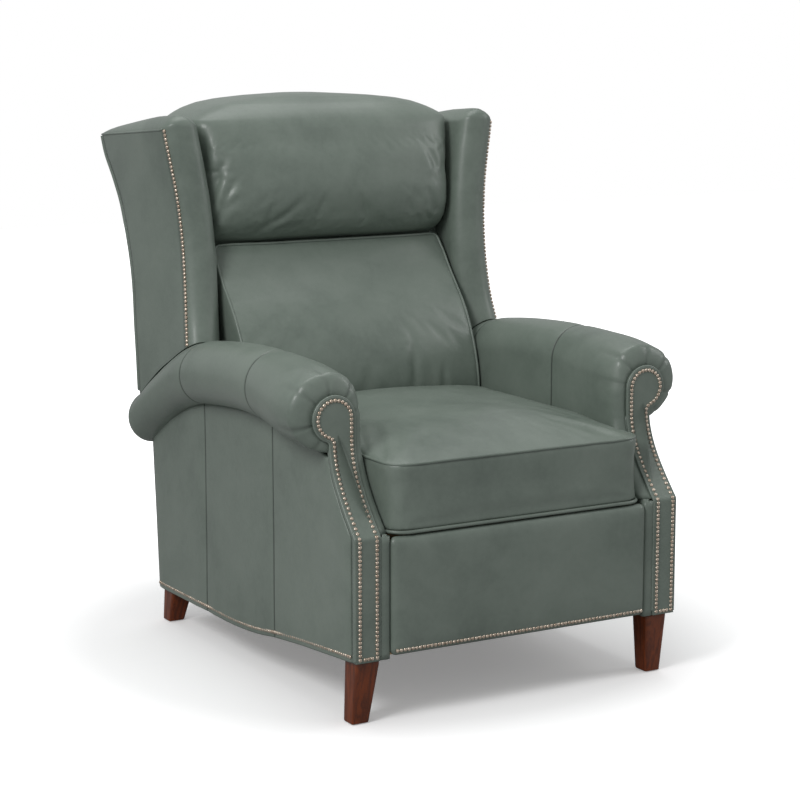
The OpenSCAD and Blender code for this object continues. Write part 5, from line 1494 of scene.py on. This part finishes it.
def woven(name, warp_c, weft_c, size):
    """A plain weave: two sine waves along x and y, whose product says which thread lies on top."""
    made, tree, shader, vec = shader_start(name)
    split = tree.nodes.new("ShaderNodeSeparateXYZ")
    feed(tree, split, {0: scaled(tree, vec, size, size, size)})
    run = add(tree, split.outputs["Y"], split.outputs["Z"])
    over = between(tree, times(tree, sine(tree, split.outputs["X"]), sine(tree, run)), -0.4, 0.4)
    surface(tree, shader, blend_colour(tree, over, warp_c, weft_c),
            between(tree, noise(tree, vec, 60.0), 0.3, 0.7, 0.8, 0.95), over, 0.6, 0.0005)
    return made


web = woven("jute_web", linear(150, 126, 92), linear(112, 90, 62), 2600.0)
deck_cloth = woven("deck_cloth", linear(70, 74, 70), linear(52, 56, 53), 4200.0)
print("metals and cloths ready")

# %% [markdown]
# ## Laying the finishes on
# The frame's record says for each solid what it is made of, and that word picks its finish. A few rails
# lie across the chair, so they take the oak whose grain is turned. The pieces of this lesson were gathered
# in lists as they were made, and each list takes one finish.

# %% Finishes
finish_of = {"leather": shaded_sage, "nails": nickel, "feet": cherry, "frame_wood": oak, "webbing": web, "steel": steel}
special = {"seat_deck": deck_cloth, "rear_apron": sage, "base_rails": oak_across, "seat_cross_rails": oak_across,
           "back_rails": oak_across, "footrest_board": oak_across}
for part in frame["record"]["subparts"]:
    finish = special.get(part["node"], finish_of.get(part["material_slot"], steel))
    obj = nodes[part["node"]]
    if not obj.data.materials:
        obj.data.materials.append(finish)
    for slot in obj.material_slots:
        slot.material = finish
for pieces, finish in ((leather_pieces, sage), (nail_pieces, nickel), (wood_pieces, cherry)):
    for piece in pieces:
        piece.data.materials.clear()
        piece.data.materials.append(finish)
print("materials set on", len(nodes), "nodes and on the leather, nails and feet")

# %% [markdown]
# ## Studio
# The chair stands on a pale floor that runs out of sight. One broad lamp from the front left lights it, a
# narrow one from the right and a wide one overhead help, and the white room fills the shade. To the camera
# the floor glows white away from the chair, but it throws back less light than its white would, so that
# the low upright faces stay as dark as in a large room.

# %% Studio
FLOOR_HALF = 9
corners = FLOOR_HALF * np.array([[-1, -1, 0], [1, -1, 0], [1, 1, 0], [-1, 1, 0]], float)
floor = piece_from("studio_floor", [(corners, np.array([[0, 1, 2, 3]]), np.zeros((0, 3), int))])
ground, tree, shader, vec = shader_start("pale_floor")
seen = node(tree, "LightPath", {}, "Is Camera Ray")
feed(tree, shader, {"Base Color": between(tree, seen, 0.0, 1.0, 0.4, 0.95), "Roughness": 0.9,
                    "Specular IOR Level": 0.1})
distance = node(tree, "VectorMath", {0: vec}, "Value", operation="LENGTH")
white_out = between(tree, distance, 0.6, 1.4, 0.22, 1.0)
glow = node(tree, "Emission", {"Color": (1, 1, 1, 1), "Strength": times(tree, seen, white_out)})
both = node(tree, "AddShader", {0: shader.outputs[0], 1: glow})
feed(tree, tree.nodes["Material Output"], {"Surface": both})
floor.data.materials.append(ground)

world = bpy.data.worlds.new("white_room")
world.use_nodes = True
scene.world = world
tree = world.node_tree
room = tree.nodes["Background"]
feed(tree, room, {"Color": (0.98, 0.99, 1.0, 1), "Strength": 0.45})
white = node(tree, "Background", {"Color": (1, 1, 1, 1), "Strength": 1.0})
path = tree.nodes.new("ShaderNodeLightPath").outputs
seen = node(tree, "Math", {0: path["Is Camera Ray"], 1: path["Is Transmission Ray"]}, operation="MAXIMUM")
mixed = node(tree, "MixShader", {0: seen, 1: room.outputs[0], 2: white})
feed(tree, tree.nodes["World Output"], {"Surface": mixed})


def lamp(name, place_at, aim_h, size, power):
    """A rectangular lamp that looks at the chair's middle at a height."""
    data = bpy.data.lights.new(name, "AREA")
    data.shape, data.size, data.size_y, data.energy = "RECTANGLE", size[0], size[1], power
    obj = bpy.data.objects.new(name, data)
    obj.location = place_at
    obj.rotation_euler = (Vector((0, 0, aim_h)) - Vector(place_at)).to_track_quat("-Z", "Y").to_euler()
    scene.collection.objects.link(obj)


lamp("key_lamp", (-3.0, -1.7, 2.9), 0.5, (1.1, 1.3), 70)
lamp("side_lamp", (3.2, -1.2, 2.2), 0.6, (0.8, 1.8), 18)
lamp("top_lamp", (0.2, 0.6, 3.6), 0.5, (2.4, 2.0), 34)
scene.view_settings.view_transform = "Standard"
print("studio ready")

# %% [markdown]
# ## Finish
# Leather may stand a little proud of the solids under it.

# %% Finish
import json
